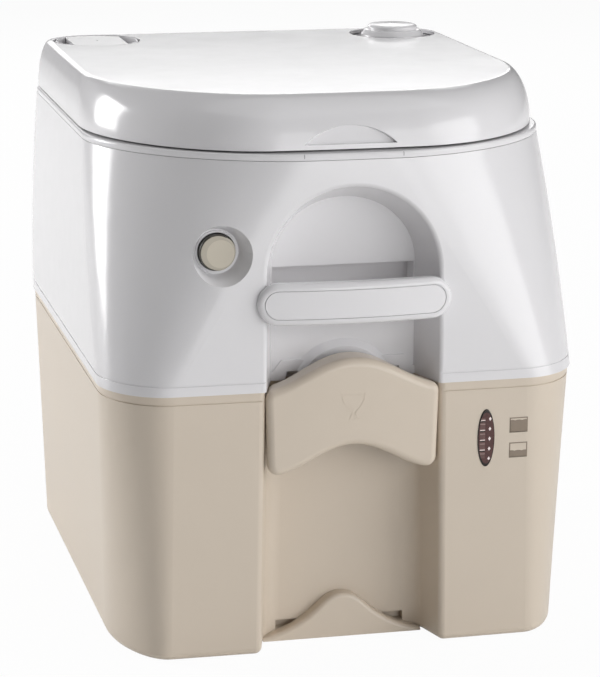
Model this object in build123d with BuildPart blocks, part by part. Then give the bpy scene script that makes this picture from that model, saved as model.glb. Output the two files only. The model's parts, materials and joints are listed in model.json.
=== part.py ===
from build123d import *
from math import asin, cos, sin, sqrt
import os

os.makedirs("parts", exist_ok=True)

# A portable toilet: a waste tank below, a flush-water unit with bowl, seat and lid above.
# Millimetres, +Z up, -Y the front, origin on the floor under the middle of the body.

# Plan of the body at its foot, at the seam between the two units and at the rim
seam_height = 190.0
rim_height = 348.5
foot_half_width = 163.6
foot_front = 200.3
foot_back = 198.5
foot_corner_width = 35.0
foot_corner_depth = 72.0
seam_half_width = 171.4
seam_front = 201.5
seam_back = 199.7
seam_corner_width = 44.6
seam_corner_depth = 51.3
rim_half_width = 166.5
rim_front = 197.8
rim_back = 192.8
rim_corner_width = 140.6
rim_corner_depth = 130.8
seam_bow = 2.1
rim_bow = 11.6
side_bulge = 1.8
rear_corner_radius = 35.0
corner_fullness = 0.51
seam_overhang = 1.2

# Plan of the lid at its lower edge and at its shoulder
lid_foot_height = 354.6
lid_shoulder_height = 390.2
lid_edge_radius = 5.0
lid_foot_half_width = 165.7
lid_foot_front = 188.7
lid_foot_corner_width = 116.0
lid_foot_corner_depth = 140.0
lid_shoulder_half_width = 155.8
lid_shoulder_front = 157.6
lid_back = 190.0
lid_back_draft = 3.0

# Walls and running clearances
tank_wall = 3.2
shell_wall = 3.0
lid_wall = 2.8
slide_gap = 0.5
turn_gap = 0.05
contact_gap = 0.35
weld = 1.0

# Thin lines pressed into the skin
line_width = 0.9
line_depth = 0.7
tank_line_drop = 5.6
shell_line_rise = 6.6

# Front recess of the waste tank and the hold-down nub at its foot
channel_front_half_width = 63.0
channel_back_half_width = 53.0
channel_flare = 2.5
channel_depth = 37.5
channel_corner_radius = 14.0
channel_edge_radius = 5.0
foot_edge_radius = 5.0
nub_half_width = 58.0
nub_height = 32.0
nub_thickness = 10.5
nub_edge_radius = 3.0
slot_inner = 30.0
slot_length = 17.0
slot_bottom = 5.6
slot_height = 6.6
slot_depth = 7.0

# Front recess of the upper unit, with the finger trough behind the carrying handle
arch_half_width = 62.0
arch_top = 332.0
arch_spring = 271.0
arch_back_half_width = 51.5
arch_back_top = 318.5
arch_depth = 33.0
arch_edge_radius = 3.0
trough_bottom = 234.0
trough_top = 271.0
trough_depth = 17.0
lip_band = 8.0
lip_proud = 1.6
hood_proud = 4.5
opening_half = 40.5
opening_step = 6.2
opening_crown_half = 24.5
opening_crown = 18.0

# Slide valve between the units
valve_y = -12.0
valve_bore_radius = 45.0
valve_travel = 92.0
blade_thickness = 3.0
blade_half_width = 54.0
blade_lap = 5.0
housing_plate = 3.5
housing_rail = 6.0
housing_side = 7.0
stem_half_width = 17.0
blade_corner_radius = 5.5
handle_pin_radius = 1.5
handle_pin_x = 10.0
seal_width = 4.0
seal_height = 3.0
screw_radius = 2.0
screw_head_radius = 3.6

# Valve handle, a bow-shaped pull in front of the recess
handle_half_width = 64.2
handle_foot_half_width = 62.3
handle_crown = 211.3
handle_shoulder = 191.0
handle_arch = 149.5
handle_foot = 129.3
handle_face = 204.0
handle_depth = 21.0
handle_wall = 3.6
handle_edge_radius = 5.5
handle_corner_radius = 7.5
handle_bow = 2.0

# Fixed carrying handle and its inlay
strap_half_length = 68.5
strap_bottom = 237.2
strap_top = 266.4
strap_face = 211.5
strap_bow = 7.0
strap_thickness = 8.5
strap_edge_radius = 4.0
plate_margin = 5.0
plate_thickness = 1.4
plate_gap = 0.5

# Level gauge window in the tank's front
gauge_x = 96.3
gauge_z = 148.0
gauge_half_width = 6.3
gauge_half_height = 20.8
gauge_depth = 6.6
gauge_flange = 3.0
gasket_thickness = 1.5

# Flush button in its dish
button_x = -93.5
button_z = 287.0
button_radius = 12.6
button_face = 191.5
button_height = 9.0
button_travel = 5.0
button_rod_radius = 2.5
button_rod_dip = 8.0
sleeve_depth = 24.0
sleeve_floor = 2.0
sleeve_wall = 1.3
sleeve_flange = 3.0
button_coil_radius = 6.5
spring_wire = 0.8
dish_radius = 20.6
dish_floor_radius = 15.6
dish_floor = 185.5
ring_radius = 14.6
ring_proud = 1.2

# Flush valve behind the button, with its hose, pickup and nozzle
flush_valve_length = 26.0
flush_valve_half_width = 10.0
flush_valve_half_height = 12.0
flush_valve_bore_radius = 4.0
flush_valve_bore_depth = 18.0
hose_barb_length = 6.0
hose_radius = 7.0
hose_bore_radius = 5.0
hose_height = 326.0
hose_bend_x = -125.5
hose_bend_y = -62.0
hose_bend_radius = 10.0
nozzle_y = -40.0
nozzle_length = 14.0
nozzle_bore_radius = 2.5
pickup_clearance = 4.0

# Caps on the rear deck
cap_x = 120.0
cap_y = 149.0
lid_hole_radius = 34.3
cap_radius = 32.6
cap_top = 389.4
cap_grip_half_width = 21.0
neck_radius = 20.0
neck_bore_radius = 16.5
neck_top = 379.0
knob_disc_radius = 19.8
knob_radius = 25.6
knob_top = 397.5
knob_step_height = 393.4
knob_shoulder_height = 388.6
pump_travel = 20.0
pump_bore_radius = 17.0
pump_wall = 2.5
pump_floor = 305.0
pump_head = 360.0
rod_radius = 4.0

# Seat, lid hinge and bumpers
seat_gap = 0.35
seat_plate = 4.4
seat_edge_radius = 1.6
seat_ring_half_width = 138.0
seat_ring_half_length = 150.0
seat_hole_half_width = 96.0
seat_hole_half_length = 118.0
seat_ring_height = 9.0
seat_y = -28.0
hinge_y = 197.5
hinge_z = 353.6
hinge_pin_radius = 3.0
hinge_eye_radius = 5.5
hinge_x = 55.0
eye_length = 8.0
bumper_radius = 4.5

# Bowl and floor of the upper unit
bowl_half_width = 104.0
bowl_half_length = 128.0
bowl_wall = 3.0
bowl_flange = 10.0
bowl_throat_step = 1.5
pan_height = 209.0

# Discharge spout in the rear alcove
spout_x = 100.0
spout_y = 168.0
spout_radius = 18.0
spout_bore_radius = 15.2
spout_height = 142.0
spout_reach = 112.0
spout_bend_radius = 22.0
alcove_left = -72.0
alcove_right = 134.0
alcove_bottom = 100.0
alcove_top = 174.0
alcove_depth = 62.0
spout_cap_radius = 22.0
spout_cap_length = 20.0
spout_flange = 5.0
spout_clip = 3.0
spout_flange_thickness = 3.0
spout_grip_radius = 1.6

# Vent button on the tank's deck
vent_x = -118.0
vent_y = 120.0
vent_travel = 4.0
vent_cup_radius = 13.0
vent_cup_depth = 8.0
vent_wall = 2.0
vent_flange = 4.0
vent_stem_radius = 3.5
vent_stem_overhang = 6.0
vent_head_height = 5.0
vent_head_gap = 1.0
vent_seal_radius = 9.5
vent_seal_thickness = 3.0
vent_window_radius = 1.5
vent_window_offset = 7.0

# Rear latch between the two units
latch_half_width = 30.0
latch_pocket_depth = 10.0
latch_pocket_bottom = 162.0
latch_pocket_top = 226.0
latch_pivot_z = 216.0
latch_hook_z = 176.0
latch_thickness = 3.6
latch_pin_radius = 2.0


def share_of(low, high, share):
    """Value part of the way from low to high."""
    return low + (high - low) * share


def plan_outline(
    height, half_width, front, back, corner_width, corner_depth, bow, rear_radius
):
    """Plan at a height: bowed front, swept front corners, straight sides, round rear corners."""
    flat = half_width - corner_width
    sag = bow * (flat / half_width) ** 2
    slope = asin(2 * flat * sag / (flat**2 + sag**2))
    corner_y = sag - front
    side_y = corner_y + corner_depth
    handle = corner_fullness * corner_width
    rear_y = back - rear_radius
    rear_x = half_width - rear_radius
    rear_cut = rear_radius * (1 - sqrt(0.5))
    with BuildSketch(Plane.XY.offset(height)) as plan:
        with BuildLine():
            ThreePointArc((-flat, corner_y), (0, -front), (flat, corner_y))
            for side in (1, -1):
                Bezier(
                    (side * flat, corner_y),
                    (side * (flat + handle * cos(slope)), corner_y + handle * sin(slope)),
                    (side * half_width, side_y - corner_fullness * corner_depth),
                    (side * half_width, side_y),
                )
                Line((side * half_width, side_y), (side * half_width, rear_y))
                ThreePointArc(
                    (side * half_width, rear_y),
                    (side * (half_width - rear_cut), back - rear_cut),
                    (side * rear_x, back),
                )
            Line((-rear_x, back), (rear_x, back))
        make_face()
    return plan.sketch


def tank_plan(height, grow=0.0):
    """Plan of the waste tank at a height, grown outwards."""
    share = height / seam_height
    return plan_outline(
        height,
        share_of(foot_half_width, seam_half_width - seam_overhang, share) + grow,
        share_of(foot_front, seam_front - seam_overhang, share) + grow,
        share_of(foot_back, seam_back - seam_overhang, share) + grow,
        share_of(foot_corner_width, seam_corner_width, share) + grow,
        share_of(foot_corner_depth, seam_corner_depth, share) + grow,
        seam_bow,
        rear_corner_radius + grow,
    )


def shell_plan(height, grow=0.0):
    """Plan of the upper unit at a height, grown outwards; its sides bulge between seam and rim."""
    share = (height - seam_height) / (rim_height - seam_height)
    bulge = 4 * side_bulge * share * (1 - share)
    return plan_outline(
        height,
        share_of(seam_half_width, rim_half_width, share) + bulge + grow,
        share_of(seam_front, rim_front, share) + bulge / 2 + grow,
        share_of(seam_back, rim_back, share) + bulge / 2 + grow,
        share_of(seam_corner_width, rim_corner_width, share) + grow,
        share_of(seam_corner_depth, rim_corner_depth, share) + grow,
        share_of(seam_bow, rim_bow, share),
        rear_corner_radius + grow,
    )


def lid_plan(rise, grow=0.0):
    """Plan of the lid, rise 0 at its lower edge and 1 at its shoulder; the front rolls over."""
    roll = 1 - sqrt(1 - rise**2)
    return plan_outline(
        share_of(lid_foot_height, lid_shoulder_height, rise),
        share_of(lid_foot_half_width, lid_shoulder_half_width, roll) + grow,
        share_of(lid_foot_front, lid_shoulder_front, roll) + grow,
        lid_back - lid_back_draft * rise + grow,
        lid_foot_corner_width + grow,
        lid_foot_corner_depth + grow,
        rim_bow,
        rear_corner_radius + grow,
    )


def stadium_plate(half_length, height, centre, plane, thickness):
    """Round-ended plate standing on a plane."""
    with BuildPart() as plate:
        with BuildSketch(plane):
            with Locations(centre):
                SlotOverall(2 * half_length, height)
        extrude(amount=thickness)
    return plate.part


def block(left, right, front, back, bottom, top):
    """Plain block between six faces."""
    with BuildPart() as solid:
        with BuildSketch(Plane.XY.offset(bottom)):
            with Locations(((left + right) / 2, (front + back) / 2)):
                Rectangle(right - left, back - front)
        extrude(amount=top - bottom)
    return solid.part


def tube(centre, outer, bore, bottom, top):
    """Upright tube, or a solid rod where the bore is 0."""
    with BuildPart() as pipe:
        with BuildSketch(Plane.XY.offset(bottom)):
            with Locations(centre):
                Circle(outer)
                if bore > 0:
                    Circle(bore, mode=Mode.SUBTRACT)
        extrude(amount=top - bottom)
    return pipe.part


def channel_volume(grow=0.0):
    """Space of the tank's front recess, grown into the tank."""
    front_y = -foot_front - channel_depth
    back_y = grow - seam_front + channel_depth
    draft = (channel_front_half_width - channel_back_half_width) / channel_depth
    with BuildPart() as space:
        for height in (-line_width, seam_height + line_width):
            flare = channel_flare * (1 - height / seam_height)
            back_half = channel_back_half_width + flare + grow
            front_half = back_half + draft * (back_y - front_y)
            with BuildSketch(Plane.XY.offset(height)) as plan:
                with BuildLine():
                    Polyline(
                        (front_half, front_y),
                        (back_half, back_y),
                        (-back_half, back_y),
                        (-front_half, front_y),
                        close=True,
                    )
                make_face()
                fillet(plan.vertices().group_by(Axis.Y)[-1], channel_corner_radius)
        loft(ruled=True)
    return space.part


def nub_profile(plane):
    """Bell-shaped outline of the hold-down nub, standing on the floor."""
    with BuildSketch(plane) as profile:
        with BuildLine():
            for side in (1, -1):
                Bezier(
                    (0, nub_height),
                    (side * nub_half_width * 0.3, nub_height),
                    (side * nub_half_width * 0.28, nub_height * 0.37),
                    (side * nub_half_width, nub_height * 0.06),
                )
                Line((side * nub_half_width, nub_height * 0.06), (side * nub_half_width, 0))
            Line((nub_half_width, 0), (-nub_half_width, 0))
        make_face()
    return profile.sketch


# Waste tank: a hollow moulding with a front recess and a rear alcove for the spout
channel_back_y = channel_depth - seam_front
alcove_front_y = foot_back - alcove_depth
latch_front_y = seam_back - seam_overhang - latch_pocket_depth
latch_side = latch_half_width + 4
rear_clear = seam_back + 20

gauge_back_y = gauge_flange + tank_wall - seam_front
deck_under = seam_height - 2 * tank_wall
latch_catch_depth = 4.6
latch_pivot_y = latch_front_y + 6.5

channel = channel_volume()
channel_shell = channel_volume(tank_wall)
alcove = block(alcove_left, alcove_right, alcove_front_y, rear_clear, alcove_bottom, alcove_top)
alcove_shell = block(
    alcove_left - tank_wall,
    alcove_right + tank_wall,
    alcove_front_y - tank_wall,
    rear_clear,
    alcove_bottom - tank_wall,
    alcove_top + tank_wall,
)
latch_pocket = block(
    -latch_side, latch_side, latch_front_y, rear_clear, latch_pocket_bottom, latch_pocket_top
)
latch_pocket_shell = block(
    -latch_side - shell_wall,
    latch_side + shell_wall,
    latch_front_y - shell_wall,
    rear_clear,
    latch_pocket_bottom - shell_wall,
    latch_pocket_top + shell_wall,
)

with BuildPart() as tank_form:
    loft([tank_plan(height) for height in (0, seam_height)], ruled=True)
    add(channel, mode=Mode.SUBTRACT)
    rims = tank_form.edges().filter_by(lambda edge: edge.length > seam_height / 2)
    rims = rims.filter_by(lambda edge: edge.center().Y < channel_back_y - channel_depth / 2)
    rims = rims.filter_by(lambda edge: abs(edge.center().X) < 1.3 * channel_front_half_width)
    rims = rims.filter_by(lambda edge: edge.bounding_box().size.Z > seam_height / 2)
    fillet(rims, channel_edge_radius)
    fillet(tank_form.edges().group_by(Axis.Z)[0], foot_edge_radius)

with BuildPart() as tank_space:
    loft(
        [tank_plan(height, -tank_wall) for height in (tank_wall, seam_height - tank_wall)],
        ruled=True,
    )
    add(channel_shell, mode=Mode.SUBTRACT)
    add(alcove_shell, mode=Mode.SUBTRACT)
    add(latch_pocket_shell, mode=Mode.SUBTRACT)
    for side in (1, -1):
        slot_middle = side * (slot_inner + slot_length / 2)
        slot_half = slot_length / 2 + tank_wall
        slot_back = channel_back_y + slot_depth + tank_wall
        slot_shell = block(
            slot_middle - slot_half,
            slot_middle + slot_half,
            channel_back_y,
            slot_back,
            slot_bottom - tank_wall,
            slot_bottom + slot_height + tank_wall,
        )
        add(slot_shell, mode=Mode.SUBTRACT)
    gauge_pad = block(
        gauge_x - 2 * gauge_half_width,
        gauge_x + 2 * gauge_half_width,
        -seam_front,
        gauge_back_y,
        gauge_z - gauge_half_height - 2 * gauge_flange,
        gauge_z + gauge_half_height + 2 * gauge_flange,
    )
    add(gauge_pad, mode=Mode.SUBTRACT)

with BuildPart() as waste_tank:
    add(tank_form.part)
    nub_plane = Plane.XZ.offset(-channel_back_y - tank_wall)
    extrude(nub_profile(nub_plane), amount=nub_thickness + tank_wall)
    nub_front_y = channel_back_y - nub_thickness
    nub_rim = waste_tank.edges().filter_by(
        lambda edge: abs(edge.center().Y - nub_front_y) < 0.01
        and edge.bounding_box().size.Z > nub_height / 2
        and edge.center().Z > 1
    )
    fillet(nub_rim, nub_edge_radius)
    add(tank_space.part, mode=Mode.SUBTRACT)
    line_top = seam_height - tank_line_drop
    line_ring = [tank_plan(line_top - line_width, grow) for grow in (line_width, -line_depth)]
    extrude(line_ring[0] - line_ring[1], amount=line_width, mode=Mode.SUBTRACT)
    for side in (1, -1):
        slot_middle = side * (slot_inner + slot_length / 2)
        slot = block(
            slot_middle - slot_length / 2,
            slot_middle + slot_length / 2,
            channel_back_y - line_width,
            channel_back_y + slot_depth,
            slot_bottom,
            slot_bottom + slot_height,
        )
        add(slot, mode=Mode.SUBTRACT)
    with BuildSketch(Plane.XZ.offset(-gauge_back_y)):
        with Locations((gauge_x, gauge_z)):
            Ellipse(gauge_half_width + turn_gap, gauge_half_height + turn_gap)
    extrude(amount=gauge_depth + tank_wall, mode=Mode.SUBTRACT)
    add(alcove, mode=Mode.SUBTRACT)
    add(latch_pocket, mode=Mode.SUBTRACT)
    add(tube((0, valve_y), valve_bore_radius, 0, deck_under, seam_height + 1), mode=Mode.SUBTRACT)
    vent_hole = tube((vent_x, vent_y), vent_cup_radius, 0, deck_under, seam_height + 1)
    add(vent_hole, mode=Mode.SUBTRACT)
    port = tube(
        (spout_x, spout_y), spout_radius + turn_gap, 0, alcove_bottom - 2 * tank_wall, alcove_bottom
    )
    add(port, mode=Mode.SUBTRACT)
    catch = block(
        -latch_half_width + 6,
        latch_half_width - 6,
        latch_front_y - shell_wall,
        latch_front_y + latch_catch_depth,
        latch_hook_z,
        latch_hook_z + latch_thickness,
    )
    add(catch)


# Slide valve: base on the deck, cover above it, and a blade with its stem between two seals
plate_top = seam_height + housing_plate
blade_bottom = plate_top + seal_height / 2
blade_top = blade_bottom + blade_thickness
cover_bottom = blade_top + seal_height / 2
cover_top = cover_bottom + housing_rail
blade_half_length = valve_bore_radius + blade_lap
blade_front = valve_y - blade_half_length
blade_back = valve_y + blade_half_length
housing_front = channel_back_y + tank_wall
housing_back = blade_back + slide_gap + housing_side
housing_half = blade_half_width + slide_gap + housing_side
seal_bore = valve_bore_radius + (blade_lap - seal_width)
screw_rows = (housing_front + housing_side, valve_y, housing_back - housing_side / 2)
screw_column = blade_half_width + slide_gap + housing_side / 2

with BuildPart() as valve_base:
    add(block(-housing_half, housing_half, housing_front, housing_back, seam_height, cover_bottom))
    guide = block(
        -blade_half_width - slide_gap,
        blade_half_width + slide_gap,
        housing_front - 1,
        blade_back + slide_gap,
        plate_top,
        cover_bottom,
    )
    add(guide, mode=Mode.SUBTRACT)
    bore = tube((0, valve_y), valve_bore_radius, 0, seam_height, plate_top)
    add(bore, mode=Mode.SUBTRACT)
    groove = tube(
        (0, valve_y), seal_bore + seal_width, seal_bore, blade_bottom - seal_height, plate_top
    )
    add(groove, mode=Mode.SUBTRACT)
    with Locations((0, 0, cover_bottom)):
        with Locations([(side * screw_column, row) for side in (1, -1) for row in screw_rows]):
            Hole(screw_radius + turn_gap, depth=cover_bottom - plate_top)

with BuildPart() as valve_cover:
    add(block(-housing_half, housing_half, housing_front, housing_back, cover_bottom, cover_top))
    bore = tube((0, valve_y), valve_bore_radius, 0, cover_bottom, cover_top)
    add(bore, mode=Mode.SUBTRACT)
    groove = tube(
        (0, valve_y), seal_bore + seal_width, seal_bore, cover_bottom, blade_top + seal_height
    )
    add(groove, mode=Mode.SUBTRACT)
    with Locations((0, 0, cover_top)):
        with Locations([(side * screw_column, row) for side in (1, -1) for row in screw_rows]):
            Hole(screw_radius + turn_gap)

with BuildPart() as valve_screws:
    for side in (1, -1):
        for row in screw_rows:
            place = (side * screw_column, row)
            add(tube(place, screw_radius, 0, plate_top, cover_top))
            add(tube(place, screw_head_radius, 0, cover_top, cover_top + screw_radius))

with BuildPart() as valve_seal_lower:
    lower_bottom = blade_bottom - seal_height
    add(tube((0, valve_y), seal_bore + seal_width, seal_bore, lower_bottom, blade_bottom))

with BuildPart() as valve_seal_upper:
    add(tube((0, valve_y), seal_bore + seal_width, seal_bore, blade_top, blade_top + seal_height))

spigot_bottom = cover_top + seal_height * 0.6
with BuildPart() as bowl_seal:
    bowl_seal_bore = valve_bore_radius - bowl_wall / 2
    add(tube((0, valve_y), bowl_seal_bore + bowl_wall * 1.6, bowl_seal_bore, cover_top, spigot_bottom))

stem_end = handle_depth * 0.62 - handle_face
handle_pin_y = (stem_end + handle_depth - handle_face) / 2


def handle_pin_rods(grow):
    """Two upright pins that fix the handle's boss to the blade's stem."""
    with BuildPart() as rods:
        for side in (1, -1):
            spot = (side * handle_pin_x, handle_pin_y)
            rod_bottom = blade_bottom - handle_wall + weld
            add(tube(spot, handle_pin_radius + grow, 0, rod_bottom, blade_top + handle_wall))
    return rods.part


with BuildPart() as valve_blade:
    blade = block(
        -blade_half_width, blade_half_width, blade_front, blade_back, blade_bottom, blade_top
    )
    add(blade)
    fillet(valve_blade.edges().filter_by(Axis.Z), blade_corner_radius)
    stem = block(
        -stem_half_width, stem_half_width, stem_end, blade_front + weld, blade_bottom, blade_top
    )
    add(stem)
    add(handle_pin_rods(turn_gap), mode=Mode.SUBTRACT)


def handle_profile(depth, inset=0.0):
    """Bow outline of the valve handle at a depth behind its face; its sides taper inwards."""
    taper = 0.3 * depth + inset
    half = handle_half_width - taper
    foot_half = handle_foot_half_width - taper
    crown = handle_crown - inset
    shoulder = handle_shoulder - inset
    arch = handle_arch + inset
    foot = handle_foot + inset
    with BuildSketch(Plane.XZ.offset(handle_face - depth)) as profile:
        with BuildLine():
            for side in (1, -1):
                Bezier(
                    (0, crown),
                    (side * half * 0.40, crown),
                    (side * half * 0.66, shoulder + 1.5),
                    (side * half, shoulder - 1),
                )
                Line((side * half, shoulder - 1), (side * foot_half, foot))
                Bezier(
                    (side * foot_half, foot),
                    (side * foot_half * 0.64, foot - 0.5),
                    (side * foot_half * 0.36, arch),
                    (0, arch),
                )
        make_face()
        corners = profile.vertices().filter_by(lambda vertex: abs(vertex.X) > foot_half / 2)
        fillet(corners, handle_corner_radius - inset)
    return profile.sketch


# Valve handle: a hollow bow with a boss that takes the blade's stem
boss_half = stem_half_width + handle_wall
boss_front = handle_wall - handle_face
with BuildPart() as valve_handle:
    loft([handle_profile(0), handle_profile(handle_depth)], ruled=True)
    with BuildSketch(Plane.XY.offset(handle_foot - 1)):
        with BuildLine():
            front_corner = handle_bow - handle_face
            wide = handle_half_width + 2
            ThreePointArc((-wide, front_corner), (0, -handle_face), (wide, front_corner))
            Line((wide, front_corner), (wide, handle_depth - handle_face))
            Line((wide, handle_depth - handle_face), (-wide, handle_depth - handle_face))
            Line((-wide, handle_depth - handle_face), (-wide, front_corner))
        make_face()
    extrude(amount=handle_crown - handle_foot + 2, mode=Mode.INTERSECT)
    face_rim = valve_handle.faces().sort_by(Axis.Y)[0].edges()
    fillet(face_rim, handle_edge_radius)
    hollow = [
        handle_profile(handle_wall + handle_bow, handle_wall),
        handle_profile(handle_depth, handle_wall),
    ]
    loft(hollow, ruled=True, mode=Mode.SUBTRACT)
    boss = block(
        -boss_half,
        boss_half,
        boss_front + handle_bow,
        handle_depth - handle_face,
        blade_bottom - handle_wall,
        blade_top + handle_wall,
    )
    add(boss)
    stem_slot = block(
        -stem_half_width - turn_gap,
        stem_half_width + turn_gap,
        stem_end - turn_gap,
        handle_depth - handle_face,
        blade_bottom - turn_gap,
        blade_top + turn_gap,
    )
    add(stem_slot, mode=Mode.SUBTRACT)
    add(handle_pin_rods(turn_gap), mode=Mode.SUBTRACT)

with BuildPart() as handle_pins:
    add(handle_pin_rods(0))


# Discharge spout in the alcove: an elbow that swivels on its collar, with a screw cap
gasket_top = alcove_bottom + gasket_thickness
collar_bottom = alcove_bottom - 3 * tank_wall
spout_end = spout_x - spout_reach
with BuildPart() as spout_gasket:
    gasket_radius = spout_radius + spout_flange + 1
    add(tube((spout_x, spout_y), gasket_radius, spout_radius + turn_gap, alcove_bottom, gasket_top))

with BuildPart() as spout_elbow:
    with BuildLine():
        FilletPolyline(
            (spout_x, spout_y, collar_bottom),
            (spout_x, spout_y, spout_height),
            (spout_end, spout_y, spout_height),
            radius=spout_bend_radius,
        )
    with BuildSketch(Plane.XY.offset(collar_bottom)):
        with Locations((spout_x, spout_y)):
            Circle(spout_radius)
            Circle(spout_bore_radius, mode=Mode.SUBTRACT)
    sweep()
    flange_top = gasket_top + spout_flange_thickness
    flange_bore = spout_radius - weld
    add(tube((spout_x, spout_y), spout_radius + spout_flange, flange_bore, gasket_top, flange_top))
    clip_top = alcove_bottom - tank_wall - contact_gap
    add(tube((spout_x, spout_y), spout_radius + spout_clip, flange_bore, collar_bottom, clip_top))

cap_plane = Plane.YZ.offset(spout_end + spout_cap_length * 0.75)
with BuildPart() as spout_cap:
    with BuildSketch(cap_plane):
        with Locations((spout_y, spout_height)):
            Circle(spout_cap_radius)
            with PolarLocations(spout_cap_radius, 16):
                Circle(spout_grip_radius, mode=Mode.SUBTRACT)
    extrude(amount=-spout_cap_length)
    with BuildSketch(cap_plane):
        with Locations((spout_y, spout_height)):
            Circle(spout_radius + turn_gap)
    extrude(amount=-spout_cap_length * 0.75 - gasket_thickness, mode=Mode.SUBTRACT)

with BuildPart() as spout_cap_seal:
    with BuildSketch(Plane.YZ.offset(spout_end)):
        with Locations((spout_y, spout_height)):
            Circle(spout_radius)
            Circle(spout_bore_radius, mode=Mode.SUBTRACT)
    extrude(amount=-gasket_thickness)

# Vent button on the deck: a sprung plunger that lifts a seal off the cup's floor when pressed
vent_cup_bottom = seam_height - vent_cup_depth
vent_cup_floor = vent_cup_bottom + vent_wall
vent_cup_top = seam_height + vent_wall
vent_head_bottom = vent_cup_top + vent_travel - vent_wall
vent_head_top = vent_head_bottom + vent_head_height
with BuildPart() as vent_cup:
    place = (vent_x, vent_y)
    add(tube(place, vent_cup_radius, 0, vent_cup_bottom, seam_height))
    add(tube(place, vent_cup_radius + vent_flange, 0, seam_height, vent_cup_top))
    bore = tube(place, vent_cup_radius - vent_wall, 0, vent_cup_floor, vent_cup_top)
    add(bore, mode=Mode.SUBTRACT)
    bore = tube(place, vent_stem_radius + turn_gap, 0, vent_cup_bottom, vent_cup_floor)
    add(bore, mode=Mode.SUBTRACT)
    window_spot = (vent_x, vent_y + vent_window_offset)
    window = tube(window_spot, vent_window_radius, 0, vent_cup_bottom, vent_cup_floor)
    add(window, mode=Mode.SUBTRACT)

with BuildPart() as vent_button:
    vent_head_radius = vent_cup_radius - vent_wall - vent_head_gap
    add(tube(place, vent_head_radius, 0, vent_head_bottom, vent_head_top))
    fillet(vent_button.edges().sort_by(Axis.Z)[-1], vent_head_gap)
    stem_bottom = vent_cup_bottom - vent_stem_overhang
    add(tube(place, vent_stem_radius, 0, stem_bottom, vent_head_bottom))

with BuildPart() as vent_seal:
    vent_seal_bottom = vent_cup_bottom - vent_seal_thickness
    add(tube(place, vent_seal_radius, vent_stem_radius, vent_seal_bottom, vent_cup_bottom))


def spring(stand, radius, turns, wire, length):
    """Open helical spring that stands on a plane, inside its free length."""
    with BuildPart() as coil:
        with BuildLine() as path:
            Helix(pitch=(length - 2 * wire) / turns, height=length - 2 * wire, radius=radius)
        with BuildSketch(Plane(origin=path.line @ 0, z_dir=path.line % 0)):
            Circle(wire)
        sweep()
    return stand.offset(wire).location * coil.part


with BuildPart() as vent_spring:
    stand = Plane((vent_x, vent_y, vent_cup_floor))
    add(spring(stand, vent_stem_radius + vent_wall * 1.75, 3, spring_wire, vent_head_bottom - vent_cup_floor))

# Level gauge window: a lens behind the tank's front wall, sealed by a gasket
gauge_seal_back = gauge_back_y + gasket_thickness
with BuildPart() as gauge_gasket:
    with BuildSketch(Plane.XZ.offset(-gauge_back_y)):
        with Locations((gauge_x, gauge_z)):
            Ellipse(gauge_half_width + gauge_flange, gauge_half_height + gauge_flange)
            Ellipse(gauge_half_width, gauge_half_height, mode=Mode.SUBTRACT)
    extrude(amount=-gasket_thickness)

with BuildPart() as gauge_lens:
    with BuildSketch(Plane.XZ.offset(-gauge_seal_back)):
        with Locations((gauge_x, gauge_z)):
            Ellipse(gauge_half_width + gauge_flange, gauge_half_height + gauge_flange)
    extrude(amount=-gauge_flange)
    with BuildSketch(Plane.XZ.offset(-gauge_seal_back)):
        with Locations((gauge_x, gauge_z)):
            Ellipse(gauge_half_width, gauge_half_height)
    extrude(amount=gauge_depth)
    fillet(gauge_lens.edges().sort_by(Axis.Y)[0], 0.8)


def arch_profile(offset, half_width, top, bottom):
    """Round-topped recess outline on a plane in front of the middle."""
    with BuildSketch(Plane.XZ.offset(offset)) as profile:
        with BuildLine():
            rise = top - arch_spring
            EllipticalCenterArc((0, arch_spring), half_width, rise, arc_size=180)
            Polyline(
                (-half_width, arch_spring),
                (-half_width, bottom),
                (half_width, bottom),
                (half_width, arch_spring),
            )
        make_face()
    return profile.sketch


def arch_volume(grow=0.0):
    """Space of the upper unit's front recess, grown into the unit."""
    overrun = 20.0
    draft = (arch_half_width - arch_back_half_width) / arch_depth
    slant = (arch_top - arch_back_top) / arch_depth
    back_half = arch_back_half_width + grow
    back_top = arch_back_top + grow
    depth = arch_depth + overrun + grow
    with BuildPart() as space:
        front = arch_profile(
            seam_front + overrun,
            back_half + draft * depth,
            back_top + slant * depth,
            seam_height - 2,
        )
        back = arch_profile(seam_front - arch_depth - grow, back_half, back_top, seam_height - 2)
        loft([front, back], ruled=True)
    return space.part


def trough_volume(grow=0.0):
    """Finger trough behind the carrying handle, grown into the unit."""
    panel_y = arch_depth - seam_front - 2
    back_y = arch_depth + trough_depth - seam_front + grow
    half = arch_back_half_width - 1 + grow
    with BuildPart() as space:
        with BuildSketch(Plane.YZ.offset(-half)):
            with BuildLine():
                Polyline(
                    (panel_y, trough_bottom - grow),
                    (panel_y, trough_top + grow),
                    (back_y, trough_top - 4 + grow),
                    (back_y, trough_bottom + 6 - grow),
                    close=True,
                )
            make_face()
        extrude(amount=2 * half)
    return space.part


def dish_volume(grow=0.0):
    """Conical dish round the flush button, grown into the unit."""
    flare = (dish_radius - dish_floor_radius) / 9.0
    mouth_y = seam_front + 3
    with BuildPart() as space:
        with BuildSketch(Plane.XZ.offset(dish_floor - grow)):
            with Locations((button_x, button_z)):
                Circle(dish_floor_radius + grow)
        with BuildSketch(Plane.XZ.offset(mouth_y)):
            with Locations((button_x, button_z)):
                Circle(dish_floor_radius + grow + flare * (mouth_y - dish_floor))
        loft(ruled=True)
    return space.part


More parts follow.
